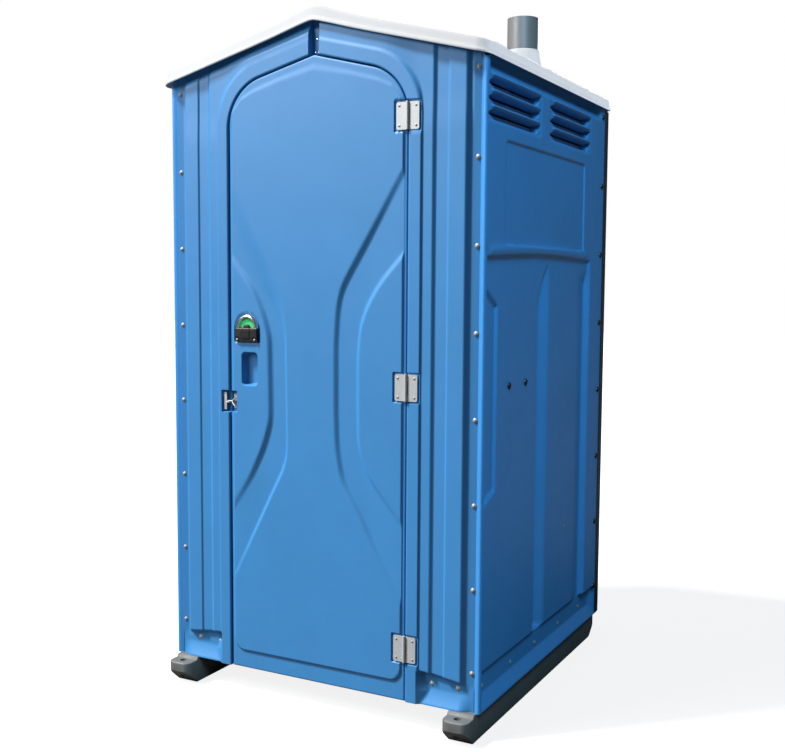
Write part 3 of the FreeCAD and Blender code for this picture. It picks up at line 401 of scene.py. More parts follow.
def top_z(x, d):
    """Height of the door outline, offset outwards by d, above x."""
    ax = np.abs(x)
    r = ARC + d
    slope = PEAK + d / math.cos(ANG) - SL * ax
    arc = CZ + np.sqrt(np.maximum(r * r - np.maximum(ax - CX, 0.0) ** 2, 0.0))
    return np.where(ax <= CX + r * math.sin(ANG), slope, arc)


def out_dist(x, z):
    """Signed distance outwards from the door outline (sides and head)."""
    ax = np.abs(x)
    vx, vz = ax - CX, z - CZ
    side = ax - HALF
    head = vx * math.sin(ANG) + vz * math.cos(ANG) - ARC
    corner = np.hypot(vx, vz) - ARC
    phi = np.arctan2(vz, vx)
    return np.where(vz < 0, np.where(ax > CX, side, np.maximum(side, head)),
                    np.where((phi < math.pi / 2 - ANG) & (vx > 0), corner, head))


# ------------------------------------------------------------- door, front
EDGE_A = Line([(-296.7, 1641.4), (-201.2, 1457.4), (-132.8, 1334.4), (-109.1, 1278.0), (-100.2, 1193.8), (-94.1, 819.0), (-101.7, 758.8), (-162.3, 645.4), (-308.2, 358.5)])
EDGE_B = Line([(-295.0, 1399.3), (-222.8, 1318.5), (-178.1, 1229.1), (-157.8, 1161.4), (-153.5, 896.2), (-180.4, 812.2), (-230.9, 709.1), (-298.0, 608.7)])
EDGE_C = Line([(308.2, 1657.8), (224.2, 1518.2), (150.9, 1400.2), (96.2, 1311.8), (82.4, 1249.1), (75.6, 1147.2), (75.8, 939.0), (79.5, 832.7), (97.3, 733.4), (153.4, 644.3), (212.4, 535.5), (287.7, 406.0)])
EDGE_D = Line([(306.8, 1413.8), (225.2, 1327.4), (178.6, 1250.8), (158.4, 1188.4), (151.9, 1099.2), (152.6, 892.7), (156.2, 829.7), (194.3, 742.5), (259.1, 667.7), (312.9, 607.8)])
HEAD_X = [0.0, 134.0, 223.0, 264.0, 290.0, 304.0]
HEAD_IN = [1954.0, 1928.0, 1903.0, 1886.0, 1858.0, 1838.0]
HEAD_OUT = [1979.0, 1945.0, 1919.0, 1897.0, 1869.0, 1849.0]


def latch_plate(x, z, grow=0.0):
    """Distance to the latch housing's outline: a block with a round head."""
    a = rbox(x, z, LX, LZ - 22.0, 41.5 + grow, 26.0 + grow, 4.0 + grow)
    b = np.hypot(x - LX, z - LZ) - (40.5 + grow)
    return np.minimum(a, b)


def door_depth(x, z):
    ax = np.abs(x)
    tin, tout = np.interp(ax, HEAD_X, HEAD_IN), np.interp(ax, HEAD_X, HEAD_OUT)
    q = rbox(x, z, 0.0, 143.0 + 1500.0, 303.0, 1500.0, 38.0)
    panel = np.minimum(S((4.0 - q) / 8.0), 1 - S((z - tin) / (tout - tin)))
    rim = 6.0 * (1 - panel) * (1 - 0.62 * S((z - 1790.0) / 70.0))
    fade = 1 - np.where(z > 1000.0, 0.40, 0.62) * S((ax - 170.0) / 135.0)
    left = np.minimum(S(-EDGE_A.to(x, z) / (12.0 + 63.0 * S((z - 1130.0) / 220.0))), S((EDGE_B.to(x, z) + 16.0) / 20.0))
    right = np.minimum(S((EDGE_C.to(x, z) + 8.0) / 19.0), S((7.0 - EDGE_D.to(x, z)) / 14.0))
    d = np.maximum(rim, fade * np.maximum(9.0 * left * (1 - 0.3 * S((640.0 - z) / 200.0)), 8.0 * right))
    d = np.maximum(d, 23.4 * S((2.0 - rbox(x, z, -238.0, 1055.5, 29.0, 51.5, 12.0)) / 7.0))
    moat = np.minimum(S((1.5 - latch_plate(x, z, 7.0)) / 5.0), S((latch_plate(x, z) + 3.0) / 2.5))
    d = np.maximum(d, 5.5 * moat * S((z - (LZ - 50.0)) / 6.0))
    d = np.maximum(d, 9.6 * S((35.5 - np.hypot(x - LX, z - LZ)) / 2.5))
    d = np.maximum(d, 18.2 * S((1.0 - rbox(x, z, -309.0, 949.0, 21.0, 34.0, 3.0)) / 3.0))
    for hz in HINGES:
        d = np.maximum(d, 2.6 * S((0.8 - rbox(x, z, 301.5, hz, 30.0, 45.0, 5.0)) / 2.0))
        d = np.maximum(d, 5.5 * np.minimum(S((0.5 - rbox(x, z, 301.5, hz, 30.0, 45.0, 5.0)) / 2.0), S((rbox(x, z, 311.5, hz, 31.0, 38.0, 3.0) - 1.0) / 1.5)))
    return d


def door_front():
    xs = lines(ar(-HALF, HALF, 4.4), [s * (HALF - d) for s in (-1, 1) for d in (0, 0.5, 1.2, 2.2, 3.5, 5.0, 7.0)],
               ar(-272, -260, 1.5), ar(-216, -204, 1.5), ar(-292, -284, 1.0), ar(-210, -197, 1.6), ar(269, 275, 1.0),
               ar(298, 308, 1.6), ar(-308, -298, 1.6), ar(-300, -92, 3.5), ar(66, 300, 3.5), tol=1.0)
    zs = lines([BASE, BASE + 0.6, BASE + 1.5, BASE + 3.0, BASE + 5.2], ar(92, 135, 8), ar(136, 152, 2), ar(156, 1640, 7.4),
               ar(908, 920, 1.5), ar(978, 990, 1.5), ar(998, 1012, 1.6), ar(1098, 1112, 1.6), ar(1126, 1240, 3.0),
               *[ar(h + s * 45 - 3, h + s * 45 + 3, 1.0) for h in HINGES[:2] for s in (-1, 1)])
    zs = zs[zs <= 1640.0]
    top = top_z(xs, 0.0)
    t = np.linspace(0, 1, 72)[1:]
    up = 1640.0 + (top - 9.0 - 1640.0)[None, :] * t[:, None]
    lip = np.array([top - k for k in (5.6, 3.2, 1.6, 0.6, 0.0)])
    Z = np.concatenate([np.repeat(zs[:, None], len(xs), 1), up, lip])
    X = np.repeat(xs[None, :], len(Z), 0)
    din = np.minimum(-out_dist(X, Z), Z - BASE)
    Y = FACE + door_depth(X, Z) + over(np.maximum(din, 0.0), 5.0)
    Y = np.minimum(Y, SPLIT - 0.4)
    F = np.stack([X, Y, Z], -1)
    B = np.stack([X, np.full_like(X, SPLIT), Z], -1)
    s = Soup()
    # closed by the perimeter wall and a flat back
    n, m = X.shape
    idx = np.arange(n * m).reshape(n, m)
    q = np.stack([idx[:-1, :-1], idx[:-1, 1:], idx[1:, 1:], idx[1:, :-1]], -1).reshape(-1, 4)
    ring = list(idx[0, :]) + list(idx[1:, -1]) + list(idx[-1, -2::-1]) + list(idx[-2:0:-1, 0])
    base = n * m
    back = {int(v): base + i for i, v in enumerate(ring)}
    f = q.tolist()
    L = len(ring)
    for i in range(L):
        a, b = int(ring[i]), int(ring[(i + 1) % L])
        f.append((b, a, back[a], back[b]))
    # back face: one polygon round the ring
    lft = [int(v) for v in idx[:, 0]]; rgt = [int(v) for v in idx[:, -1]]
    f.append(tuple(back[int(v)] for v in reversed(ring)))
    s.add(np.concatenate([F.reshape(-1, 3), B.reshape(-1, 3)[ring]]), f)
    return s


def door_back():
    """Inner skin: a flat border and two sunk panels with ribs."""
    xs = lines(ar(-HALF, HALF, 7.0), [s * (HALF - d) for s in (-1, 1) for d in (0, 0.7, 2.0, 4.0)],
               *[ar(s * 262 - 7, s * 262 + 7, 2.3) for s in (-1, 1)], *[ar(c - 16, c + 16, 4) for c in (-130, 0, 130)])
    zs = lines([BASE, BASE + 0.7, BASE + 2.0, BASE + 4.0], ar(92, 1700, 14), ar(132, 150, 3), ar(880, 900, 3), ar(1260, 1280, 3))
    zs = zs[zs <= 1700.0]
    top = top_z(xs, 0.0)
    t = np.linspace(0, 1, 30)[1:]
    up = 1700.0 + (top - 6.0 - 1700.0)[None, :] * t[:, None]
    lip = np.array([top - k for k in (4.0, 2.0, 0.7, 0.0)])
    Z = np.concatenate([np.repeat(zs[:, None], len(xs), 1), up, lip])
    X = np.repeat(xs[None, :], len(Z), 0)
    din = np.minimum(-out_dist(X, Z), Z - BASE)
    d = over(np.maximum(din, 0.0), 4.0)
    low = S((4.0 - rbox(X, Z, 0.0, 516.0, 262.0, 376.0, 30.0)) / 8.0)
    hd = np.minimum(S((4.0 - rbox(X, Z, 0.0, 1570.0, 262.0, 300.0, 30.0)) / 8.0), 1 - S((Z - (top_z(X, -48.0))) / 8.0))
    rib = np.maximum.reduce([S((13.0 - np.abs(X - c)) / 8.0) for c in (-130.0, 0.0, 130.0)])
    d = np.maximum(d, np.maximum(low, hd) * (6.5 - 5.0 * rib * np.maximum(low, hd)))
    F = np.stack([X, INNER - d, Z], -1)
    B = np.stack([X, np.full_like(X, SPLIT), Z], -1)
    s = Soup()
    s.shell([(F, B, None)], flip=True)
    return s


make("door_front_skin", door_front(), "door", ["door_outer_skin"], BLUE)
make("door_rear_skin", door_back(), "door", ["door_inner_skin"], BLUE_IN)


# ------------------------------------------------------------- front jambs
def jamb_depth(x, z, side):
    """Depth behind the door's face of a jamb's surface; x is taken to the right."""
    d = out_dist(x, z)
    lev = (6.0 + 2.5 * S((z - 1750.0) / 120.0)) * S((d - 42.0) / (7.0 + 9.0 * S((z - 1800.0) / 120.0)))
    lev = lev * (1 - (0.62 if side > 0 else 0.92) * S((z - 1800.0) / 130.0) * (1 - S((x - 230.0) / 120.0)))
    lev = lev + 7.5 * S((x - 390.0) / 13.0) - 4.0 * S((x - 436.0) / 7.0) + 16.5 * S((x - 490.0) / 19.0)
    # the sheet steps back under the eaves
    h = roof_under(x) - z
    lev = lev + (np.clip(26.0 - lev, 0.0, 8.0) * S((40.0 - h) / 30.0) if side > 0 else np.clip(26.0 - lev, 0.0, 16.0) * S((64.0 - h) / 44.0)) * S((d - 42.0) / 14.0)
    # the field runs out above the toe
    zt = 191.0 - (x - 353.0) * 0.125
    toe = S((zt - z) / 15.0)
    wall = np.clip((x - 354.0) / (8.0 + np.clip(185.0 - z, 0.0, 60.0) * 0.5), 0.0, 1.0)
    low = 26.0 * wall
    lev = lev * (1 - toe) + low * toe
    lip = 26.0 - 17.0 * np.clip((134.0 - z) / 46.0, 0.0, 1.0) ** 1.3 * (1 - S((x - 486.0) / 44.0))
    lev = np.minimum(lev, np.maximum(lip, 0.0) + 0 * x)
    # centre strip at the splice
    mid = 26.0 * (1 - S((x - 15.0) / 4.0))
    lev = np.maximum(lev, mid)
    # the flange swells towards the corner
    lev = lev + side * 4.6 * (np.clip((x - 511.0) / 20.2, 0.0, 1.0) - 0.5 * S((x - 490.0) / 19.0)) * S((z - 140.0) / 30.0) * S((roof_under(x) - z - 20.0) / 50.0)
    if side > 0:
        for hz in HINGES:
            lev = np.maximum(lev, 2.6 * S((0.8 - rbox(x, z, 329.0, hz, 30.0, 45.0, 5.0)) / 2.0))
            lev = np.maximum(lev, 5.0 * np.minimum(S((0.5 - rbox(x, z, 329.0, hz, 30.0, 45.0, 5.0)) / 2.0), S((rbox(x, z, 321.5, hz, 31.0, 38.0, 3.0) - 1.0) / 1.5)))
    else:
        lev = np.maximum(lev, 18.2 * S((1.0 - rbox(x, z, 330.0, 949.0, 17.0, 34.5, 3.0)) / 3.0))
    return lev + over(np.maximum(d - GAP, 0.0), 5.0)


def jamb(side):
    w = HALF + GAP
    xo = W2 - 21.3
    xa = lines([w, w + 0.5, w + 1.2, w + 2.2, w + 3.5, w + 5.0], ar(326, 353, 4.5), ar(354, 365, 1.3), ar(368, 388, 5), ar(389, 405, 1.6),
               ar(409, 433, 5), ar(435, 444, 1.5), ar(448, 488, 5), ar(489, 511, 1.8), ar(514, xo, 4))
    extra = [ar(h + s * 45 - 3, h + s * 45 + 3, 1.2) for h in HINGES[:2] for s in (-1, 1)] if side > 0 else [ar(911, 919, 1.3), ar(979, 987, 1.3)]
    za = lines(ar(LIP, 200, 3.0), ar(205, CZ, 9.0), *extra)
    za = za[za <= CZ]
    phi = np.linspace(math.pi / 2 - ANG, 0.0, 64)
    xb = lines([0.25, 4, 8, 12, 14], ar(15, 20, 1.0), ar(24, CX + (ARC + GAP) * math.sin(ANG), 4.5), CX + (ARC + GAP) * np.cos(phi), tol=0.03)
    xb[-1] = w
    xu = np.concatenate([xb[:-1], xa])
    n_up = 84
    zl = np.where(xu <= w, top_z(xu, GAP), CZ)
    zl = np.where(np.abs(xu - w) < 1e-6, CZ, zl)
    zr = roof_under(xu) - 0.0
    off = np.array([0.0, 0.6, 1.4, 2.6, 4.2, 6.2])
    rest = np.linspace(0, 1, n_up)[1:]
    ZU = np.concatenate([zl[None, :] + off[:, None], (zl + 6.2)[None, :] + (zr - zl - 6.2)[None, :] * rest[:, None]])
    XU = np.repeat(xu[None, :], len(ZU), 0)
    ZL = np.repeat(za[:, None], len(xa), 1)
    XL = np.repeat(xa[None, :], len(ZL), 0)
    grids = []
    for X, Z in ((XL, ZL), (XU, ZU)):
        Y = FACE + jamb_depth(X, Z, side)
        d = out_dist(X, Z) - GAP
        Yb = np.where(d < 5.5, STOP + 5.0, FY + 5.0)
        Yb = np.maximum(Yb, Y + 1.2)
        grids.append((np.stack([X, Y, Z], -1), np.stack([X, Yb, Z], -1), None))
    s = Soup()
    s.shell(grids)
    # door stop: a rounded bead swept round the opening
    prof = [(1.5, STOP), (-6.6, STOP), (-7.6, STOP + 0.8), (-8.0, STOP + 2.5), (-7.6, STOP + 4.2), (-6.6, STOP + 5.0), (4.2, STOP + 5.0), (4.2, STOP)]
    rings = []
    for z in ar(116.0, CZ, 60.0):
        rings.append([(HALF + d, y, z) for d, y in prof])
    for a in np.linspace(0, math.pi / 2 - ANG, 20)[1:]:
        rings.append([(CX + (ARC + d) * math.cos(a), y, CZ + (ARC + d) * math.sin(a)) for d, y in prof])
    rings.append([(0.25, y, PEAK + d / math.cos(ANG) - SL * 0.25) for d, y in prof])
    s.loft(np.array(rings), flip=True)
    return s if side > 0 else s.mirror_x()


make("front_jamb_right_moulding", jamb(1), "cabin", ["front_jamb_right"], BLUE)
make("front_jamb_left_moulding", jamb(-1), "cabin", ["front_jamb_left"], BLUE)


# ------------------------------------------------------------- side panels
ROWS = (1784.0, 1826.5, 1869.0)            # lower edges of the vent slots
BANKS = ((-516.0, -95.0), (-17.0, 398.0))
SLOT_H = 33.0


def side_depth(y, z, vy=0.0):
    """Depth of the side wall's surface inside its outermost plane."""
    step = np.interp(y, [-505, -277, -96, 98, 377, 590], [1405, 1414, 1419, 1418, 1411, 1409])
    low = S((step + 3.0 - z) / 11.0)
    lev = 11.0 * low - 4.5 * np.exp(-((z - step - 17.0) / 12.0) ** 2) * S((y + 500.0) / 30.0) * S((395.0 - y) / 30.0)
    # sunk area beside the front corner, with slanted ends
    zt = np.interp(y, [-509, -401], [1327.0, 1266.0])
    zb = np.interp(y, [-502, -380], [680.0, 726.0])
    trap = np.minimum.reduce([S((-399.0 - y) / 8.0), S((zt - z) / 9.0), S((z - zb) / 9.0)])
    lev = lev + 10.0 * trap * S((y + 509.0) / 6.0)
    # upright V-shaped valley under the step
    w = y - vy
    vd = np.where(w < -18.0, S((w + 80.0) / 62.0), 1 - S((w + 18.0) / 54.0))
    vtop = S((step - 22.0 - np.clip(18.0 - w, 0, 90) * 1.1 - z) / 26.0)
    vbot = S((z - 186.0) / 18.0)
    lev = lev + 24.0 * vd * vtop * vbot * low
    # rear slope and the proud rear border
    rr = S((y - 311.0) / 96.0) * (1 - S((y - 407.0) / 24.0)) * S((step - 30.0 - z) / 60.0)
    lev = lev + 11.0 * rr * low
    lev = lev * (1 - S((y - 411.0) / 16.0))
    # toe: sunk rivet line over a flared lip
    toe = S((200.0 - z) / 15.0)
    lev = lev * (1 - toe) + 20.0 * toe * (1 - S((y - 515.0) / 60.0))
    lip = 20.0 * np.clip((z - 88.0) / 40.0, 0.0, 1.0)
    lev = np.where(z < 131.0, np.minimum(lev, lip), lev)
    # front corner stays proud
    lev = lev * S((y + 509.5) / 7.0)
    # sign field
    lev = lev + 5.6 * S((2.5 - rbox(y, z, -17.0, 1590.0, 361.0, 149.0, 14.0)) / 6.0)
    # cove under the eaves
    lev = lev + 26.0 * S((z - 1902.0) / 56.0) * (1 - S((y - 500.0) / 30.0)) * S((y + 505.0) / 12.0)
    # vent banks sit in a shallow sunk field
    for y0, y1 in BANKS:
        q = rbox(y, z, (y0 + y1) / 2, (ROWS[0] + ROWS[2] + SLOT_H) / 2, (y1 - y0) / 2 + 6, (ROWS[2] - ROWS[0] + SLOT_H) / 2 + 8, 16.0)
        lev = lev + 2.5 * S(-q / 9.0)
        for r in ROWS:
            e = slot_in(y, z, y0, y1, r)
            # the sheet dives in under a proud hood
            lev = lev + 24.0 * S(e / 7.5)
            hood = S(1 - np.abs(z - (r + SLOT_H + 3.5)) / 8.0) * S((y - y0 - 22) / 18.0) * S((y1 - 4 - y) / 18.0)
            lev = lev - 8.0 * hood
    return lev


def slot_in(y, z, y0, y1, r):
    """How far a point lies inside a vent slot, whose front end is pointed."""
    mid = r + SLOT_H / 2
    a = np.minimum(z - r, r + SLOT_H - z)
    front = (y - y0) * 0.31 - np.abs(z - mid) * 0.95 + 0.0
    rear = ((y1 - (r + SLOT_H - z) * -0.0) - 34.0 * (1 - (z - r) / SLOT_H) - y) * 0.66
    return np.minimum(np.minimum(a, front), rear)


def side(sgn):
    # plan of the front corner: along the flange, round a proud bead, then rearwards
    bead = [(531.5, FY + sgn * 2.0), (534.0, FY - 1.2 + sgn * 1.6), (537.0, FY - 4.2 + sgn * 0.8), (540.5, FY - 6.6), (543.5, FY - 7.6), (546.0, FY - 8.0), (548.2, FY - 7.8),
            (550.2, FY - 6.6), (551.7, FY - 4.4), (552.4, FY - 1.6), (552.5, FY + 2.0)]
    ys = lines([FY + 6.0], ar(FY + 9.0, FY + 16.0, 2.3), ar(-497, -410, 6.0), ar(-408, -394, 2.3), ar(-388, -80, 9.0), ar(-78, -18, 6.5), ar(-10, 78, 9.0),
               ar(86, 306, 10.0), ar(-20, 40, 5.0), ar(-190, -120, 5.0), ar(-242, -190, 8.0), ar(311, 406, 9.0), ar(407, 436, 3.0), ar(444, BY, 9.0), ar(-100, -92, 3), ar(356, 402, 6),
               ar(-518, -455, 5.0)[2:], [-381, -375, 341, 347], tol=2.0)
    zs = lines(ar(LIP, 134, 4.0), ar(140, 180, 10), ar(184, 203, 3.2), ar(212, 660, 14.0), ar(672, 735, 7), ar(750, 1240, 14.0), ar(1254, 1335, 7.0),
               ar(1345, 1385, 10), ar(1388, 1425, 3.2), ar(1434, 1450, 3.0), ar(1465, 1725, 14.0), ar(1730, 1746, 3.0), ar(1756, 1774, 5),
               *[ar(r - 4, r + 10, 2.0) for r in ROWS], *[ar(r + SLOT_H - 6, r + SLOT_H + 9, 1.9) for r in ROWS], *[ar(r + 12, r + 26, 4) for r in ROWS],
               ar(1912, roof_under(W2), 9.0))
    zs = zs[zs <= roof_under(W2) - 8.0]
    nb = len(bead)
    X, Y, NX, NY = [], [], [], []
    bx = np.array([p[0] for p in bead]); by = np.array([p[1] for p in bead])
    px, py = np.concatenate([bx, np.full(len(ys), W2)]), np.concatenate([by, ys])
    tx, ty = np.gradient(px), np.gradient(py)
    L = np.hypot(tx, ty)
    nx, ny = ty / L, -tx / L
    M = len(px)
    Z = np.repeat(zs[:, None], M, 1)
    PX = np.repeat(px[None, :], len(zs), 0); PY = np.repeat(py[None, :], len(zs), 0)
    dep = np.zeros_like(Z)
    # the left wall's valley is set forward, clear of what hangs inside
    dep[:, nb:] = side_depth(PY[:, nb:], Z[:, nb:], 0.0 if sgn > 0 else -165.0)
    FX = PX - dep
    top_cut = np.zeros(M); top_cut[4:nb + 1] = 26.0
    Z = LIP + (Z - LIP) * (1 - top_cut[None, :] / (zs[-1] - LIP) * S((Z - 1700.0) / 250.0))
    # the back face lies the sheet's thickness behind the front, along the plan's normal
    FXY = PY.copy()
    NXg = np.repeat(nx[None, :], len(zs), 0); NYg = np.repeat(ny[None, :], len(zs), 0)
    t = 4.5
    F = np.stack([FX, FXY, Z], -1)
    B = np.stack([FX - t * np.maximum(NXg, 0.25) * (NXg > 0.5) - t * 0.3 * (NXg <= 0.5), FXY - t * NYg, Z], -1)
    B[..., 0] = np.where(NXg > 0.9, FX - t, B[..., 0])
    B[..., 1] = np.where(NXg > 0.9, FXY, B[..., 1])
    yc = (PY[:-1, :-1] + PY[1:, 1:]) / 2; zc = (Z[:-1, :-1] + Z[1:, 1:]) / 2
    mask = np.ones_like(yc, bool)
    for y0, y1 in BANKS:
        for r in ROWS:
            e = slot_in(yc, zc, y0, y1, r)
            hole = (e > 7.2) & (zc > r + SLOT_H - 15.5) & (np.arange(M - 1)[None, :] >= nb)
            mask &= ~hole
    s = Soup()
    s.shell([(F, B, mask)], flip=False)
    return s if sgn > 0 else s.mirror_x()


make("side_wall_right", side(1), "cabin", ["side_panel_right"], BLUE)
make("side_wall_left", side(-1), "cabin", ["side_panel_left"], BLUE)


# -------------------------------------------------------------- back panel
def back():
    xe = W2 - 6.3
    xs = lines(ar(-xe, xe, 12.0), *[ar(c - 9, c + 9, 2.5) for c in (-470, 470, -250, -130, 130, 250)])
    zs = lines(ar(LIP, 184, 9.0), ar(186, 222, 2.8), ar(230, 1750, 24.0), ar(1752, 1804, 3.0), ar(1815, roof_under(xe), 16))
    zs = zs[zs < roof_under(xe)]
    top = roof_under(np.maximum(np.abs(xs), 27.0))
    t = np.linspace(0, 1, 20)[1:]
    zl = zs[-1]
    Z = np.concatenate([np.repeat(zs[:, None], len(xs), 1), zl + (top - zl)[None, :] * t[:, None]])
    X = np.repeat(xs[None, :], len(Z), 0)
    ax = np.abs(X)
    corner = S((ax - 466.0) / 9.0) * S((1952.0 - Z) / 9.0)
    pil = S((62.0 - np.abs(ax - 190.0)) / 9.0) * S((Z - 208.0) / 14.0) * S((1762.0 - Z) / 14.0)
    hb = np.maximum(S((15.0 - np.abs(Z - 202.0)) / 7.0), S((24.0 - np.abs(Z - 1778.0)) / 8.0))
    lip = np.clip((125.0 - Z) / 36.0, 0, 1)
    raised = np.maximum.reduce([corner, pil, hb, lip])
    # shallow vertical flutes on the sheet between the ribs
    fl = 1.6 * (0.5 + 0.5 * np.cos(ax / 30.0 * 2 * math.pi / 2)) * (1 - raised) * S((Z - 230.0) / 20.0) * S((1740.0 - Z) / 20.0)
    Y = BY - 12.0 + 12.0 * raised + fl
    F = np.stack([X, Y, Z], -1)
    B = np.stack([X, np.minimum(Y - 5.0, BY - 12.5), Z], -1)
    s = Soup()
    s.shell([(F, B, None)], flip=True)
    return s


make("back_wall", back(), "cabin", ["back_panel"], BLUE)


# -------------------------------------------------------------------- roof
RH, RF, RB = 565.0, -552.0, 594.0


def roof():
    """Sheet with rounded front corners, a flared rim with a rolled lip, and the boot of the vent pipe."""
    ins, insf, insr = 11.0, 13.0, 5.0
    x1, yf, yr = RH - ins, RF + insf, RB - insr
    Rf, Rr = 30.0, 7.0
    a = lines(ar(-x1, -x1 + Rf, 3.0), ar(-x1 + Rf, x1 - Rf, 11.0), ar(x1 - Rf, x1, 3.0), ar(-60, 60, 3.0), ar(-12, 12, 1.5))
    b = lines(ar(yf, yf + Rf, 3.0), ar(yf + Rf, yr - Rr, 10.0), ar(yr - Rr, yr, 1.75))
    X, Y = np.meshgrid(a, b)
    for R, cy, sy in ((Rf, yf + Rf, -1), (Rr, yr - Rr, 1)):
        ux, uy = (np.abs(X) - (x1 - R)) / R, sy * (Y - cy) / R
        inc = (ux > 0) & (uy > 0)
        r = np.maximum(ux, uy)
        th = np.where(ux >= uy, (math.pi / 4) * uy / np.maximum(ux, 1e-9), math.pi / 2 - (math.pi / 4) * ux / np.maximum(uy, 1e-9))
        X, Y = np.where(inc, np.sign(X) * (x1 - R + R * r * np.cos(th)), X), np.where(inc, cy + sy * R * r * np.sin(th), Y)
    PX_, PY_, PR_ = 249.0, 507.0, 57.0

    def top(x, y):
        z = ROOF_TOP - SL * np.sqrt(x * x + 11.0 ** 2)
        rib = np.zeros_like(x)
        for c, h in ((-375.0, 58.0), (-120.0, 40.0), (75.0, 52.0), (470.0, 62.0)):
            rib = np.maximum(rib, S((h - np.abs(y - c)) / 18.0))
        rib = rib * S((np.abs(x) - 70.0) / 40.0) * S((543.0 - np.abs(x)) / 16.0)
        q = np.hypot(x - PX_, y - PY_)
        rib = rib * S((q - 118.0) / 40.0)
        # the sheet is drawn up towards the boot
        up = np.clip((140.0 - q) / 62.0, 0.0, 1.0)
        return z + 12.0 * rib + 24.0 * up * up + 11.0 * np.exp(-(x / 100.0) ** 2)

    T = np.stack([X, Y, top(X, Y)], -1)
    n, m = X.shape
    idx = np.arange(n * m).reshape(n, m)
    q = np.stack([idx[:-1, :-1], idx[:-1, 1:], idx[1:, 1:], idx[1:, :-1]], -1).reshape(-1, 4).tolist()
    ring = [int(v) for v in list(idx[0, :]) + list(idx[1:, -1]) + list(idx[-1, -2::-1]) + list(idx[-2:0:-1, 0])]
    V = T.reshape(-1, 3)
    P = V[ring]
    nrm = np.roll(P, -1, 0)[:, :2] - np.roll(P, 1, 0)[:, :2]
    nrm = np.stack([nrm[:, 1], -nrm[:, 0]], -1)
    nrm /= np.linalg.norm(nrm, axis=1)[:, None]
    # the rim flares by the inset of its own side
    w = np.stack([np.abs(nrm[:, 0]) * ins, np.where(nrm[:, 1] < 0, insf, insr) * np.abs(nrm[:, 1])], -1)
    flare = np.hypot(w[:, 0], w[:, 1])
    drop = [(0.10, -0.6), (0.18, -2.4), (0.25, -5.0), (0.38, -13.0), (0.54, -22.0), (0.66, -27.5), (0.84, -30.5), (0.96, -32.2), (1.0, -34.5), (1.0, -37.0),
            (0.93, -38.4), (0.76, -38.6), (0.66, -36.8), (0.58, -33.0), (0.2, -25.0), (0.05, -14.0), (-0.18, -7.5)]
    s = Soup()
    f = list(q)
    allv = [V]
    base = len(V)
    prev = ring
    zt = ROOF_TOP - SL * np.sqrt(P[:, 0] ** 2 + 11.0 ** 2)
    keep = 1 - 0.11 * np.exp(-(P[:, 0] / 110.0) ** 2)
    Lr = len(ring)
    crest = 11.0 * np.exp(-(P[:, 0] / 100.0) ** 2)
    for o, dz in drop:
        allv.append(np.stack([P[:, 0] + nrm[:, 0] * o * flare, P[:, 1] + nrm[:, 1] * o * flare, zt + dz * keep + crest * max(0.0, 1 + dz / 30.0)], -1))
        cur = list(range(base, base + Lr))
        base += Lr
        for i in range(Lr):
            j = (i + 1) % Lr
            f.append((prev[j], prev[i], cur[i], cur[j]))
        prev = cur
    U = T.copy(); U[..., 2] -= 6.0
    U[..., 2] = np.minimum(U[..., 2], top(X, Y) - 6.0)
    allv.append(U.reshape(-1, 3))
    f += [tuple(x + base for x in reversed(c)) for c in q]
    for i in range(Lr):
        j = (i + 1) % Lr
        f.append((prev[j], prev[i], ring[i] + base, ring[j] + base))
    A = np.concatenate(allv)
    wide = 10.0 * S((-A[:, 0] - 455.0) / 95.0)
    A[:, 0] -= wide
    A[:, 2] -= wide * SL
    s.add(A, f)
    zr = ROOF_TOP - SL * PX_
    k = Soup()
    k.turn([(58.2, zr - 40), (58.2, 2179.0), (58.8, 2181.5), (60.2, 2182.0), (62.0, 2181.0), (63.4, 2176.0), (65.4, 2162.0), (68.2, 2144.0), (71.6, 2127.0),
            (76.0, 2111.0), (81.0, 2099.0), (86.0, 2090.0), (88.0, 2080.0), (86.0, 2062.0), (83.0, 2046.0), (70.0, 2036.0), (58.2, zr - 40)], PX_, PY_, 72)
    s.add(np.concatenate(k.v), k.f)
    return s


ROOF = make("roof_moulding", roof(), "cabin", ["roof"], WHITE, angle=50.0)


# -------------------------------------------------------------------- skids
def skid(sgn):
    """Runner with a rounded nose, cut away below like a ski, and a low tongue at the front."""
    y0, y1, hw = -590.0, 592.0, 42.0
    st = lines(y0 + np.array([0, 0.5, 1.6, 3.4, 6.0, 9.5, 13.5, 18.5, 24.0, 32.0, 40.0, 47.0, 49.0, 51.5, 54.0, 56.0, 60.0]), ar(y0 + 68, y1 - 68, 40.0),
               y1 - np.array([0, 0.5, 1.6, 3.4, 6.0, 9.5, 13.5, 18.5, 24.0, 32.0, 40.0, 50.0, 60.0]))
    rings = []
    for y in st:
        e0, e1 = y - y0, y1 - y
        w = hw
        for e, rr in ((e0, 24.0), (e1, 18.0)):
            if e < rr:
                w = min(w, hw - rr + math.sqrt(max(rr * rr - (rr - e) ** 2, 0.0)))
        zb = max(0.0, 46.0 * (1 - e0 / 52.0), 44.0 * (1 - e1 / 56.0))
        zt = 76.0 - 3.0 * (1 - min(1.0, e0 / 6.0)) ** 2 + 9.0 * float(S((e0 - 47.0) / 8.0))
        p = []
        for (sx, sz, a0, rad) in ((1, -1, -90, 5.0), (1, 1, 0, 4.0), (-1, 1, 90, 4.0), (-1, -1, 180, 5.0)):
            cx_, cz_ = sx * (w - rad), (zb + rad if sz < 0 else zt - rad)
            for t in (0, 22.5, 45, 67.5, 90):
                ang = math.radians(a0 + t)
                p.append((sgn * 500.0 + cx_ + rad * math.cos(ang), y, cz_ + rad * math.sin(ang)))
        rings.append(p)
    s = Soup()
    s.loft(np.array(rings), flip=True)
    return s


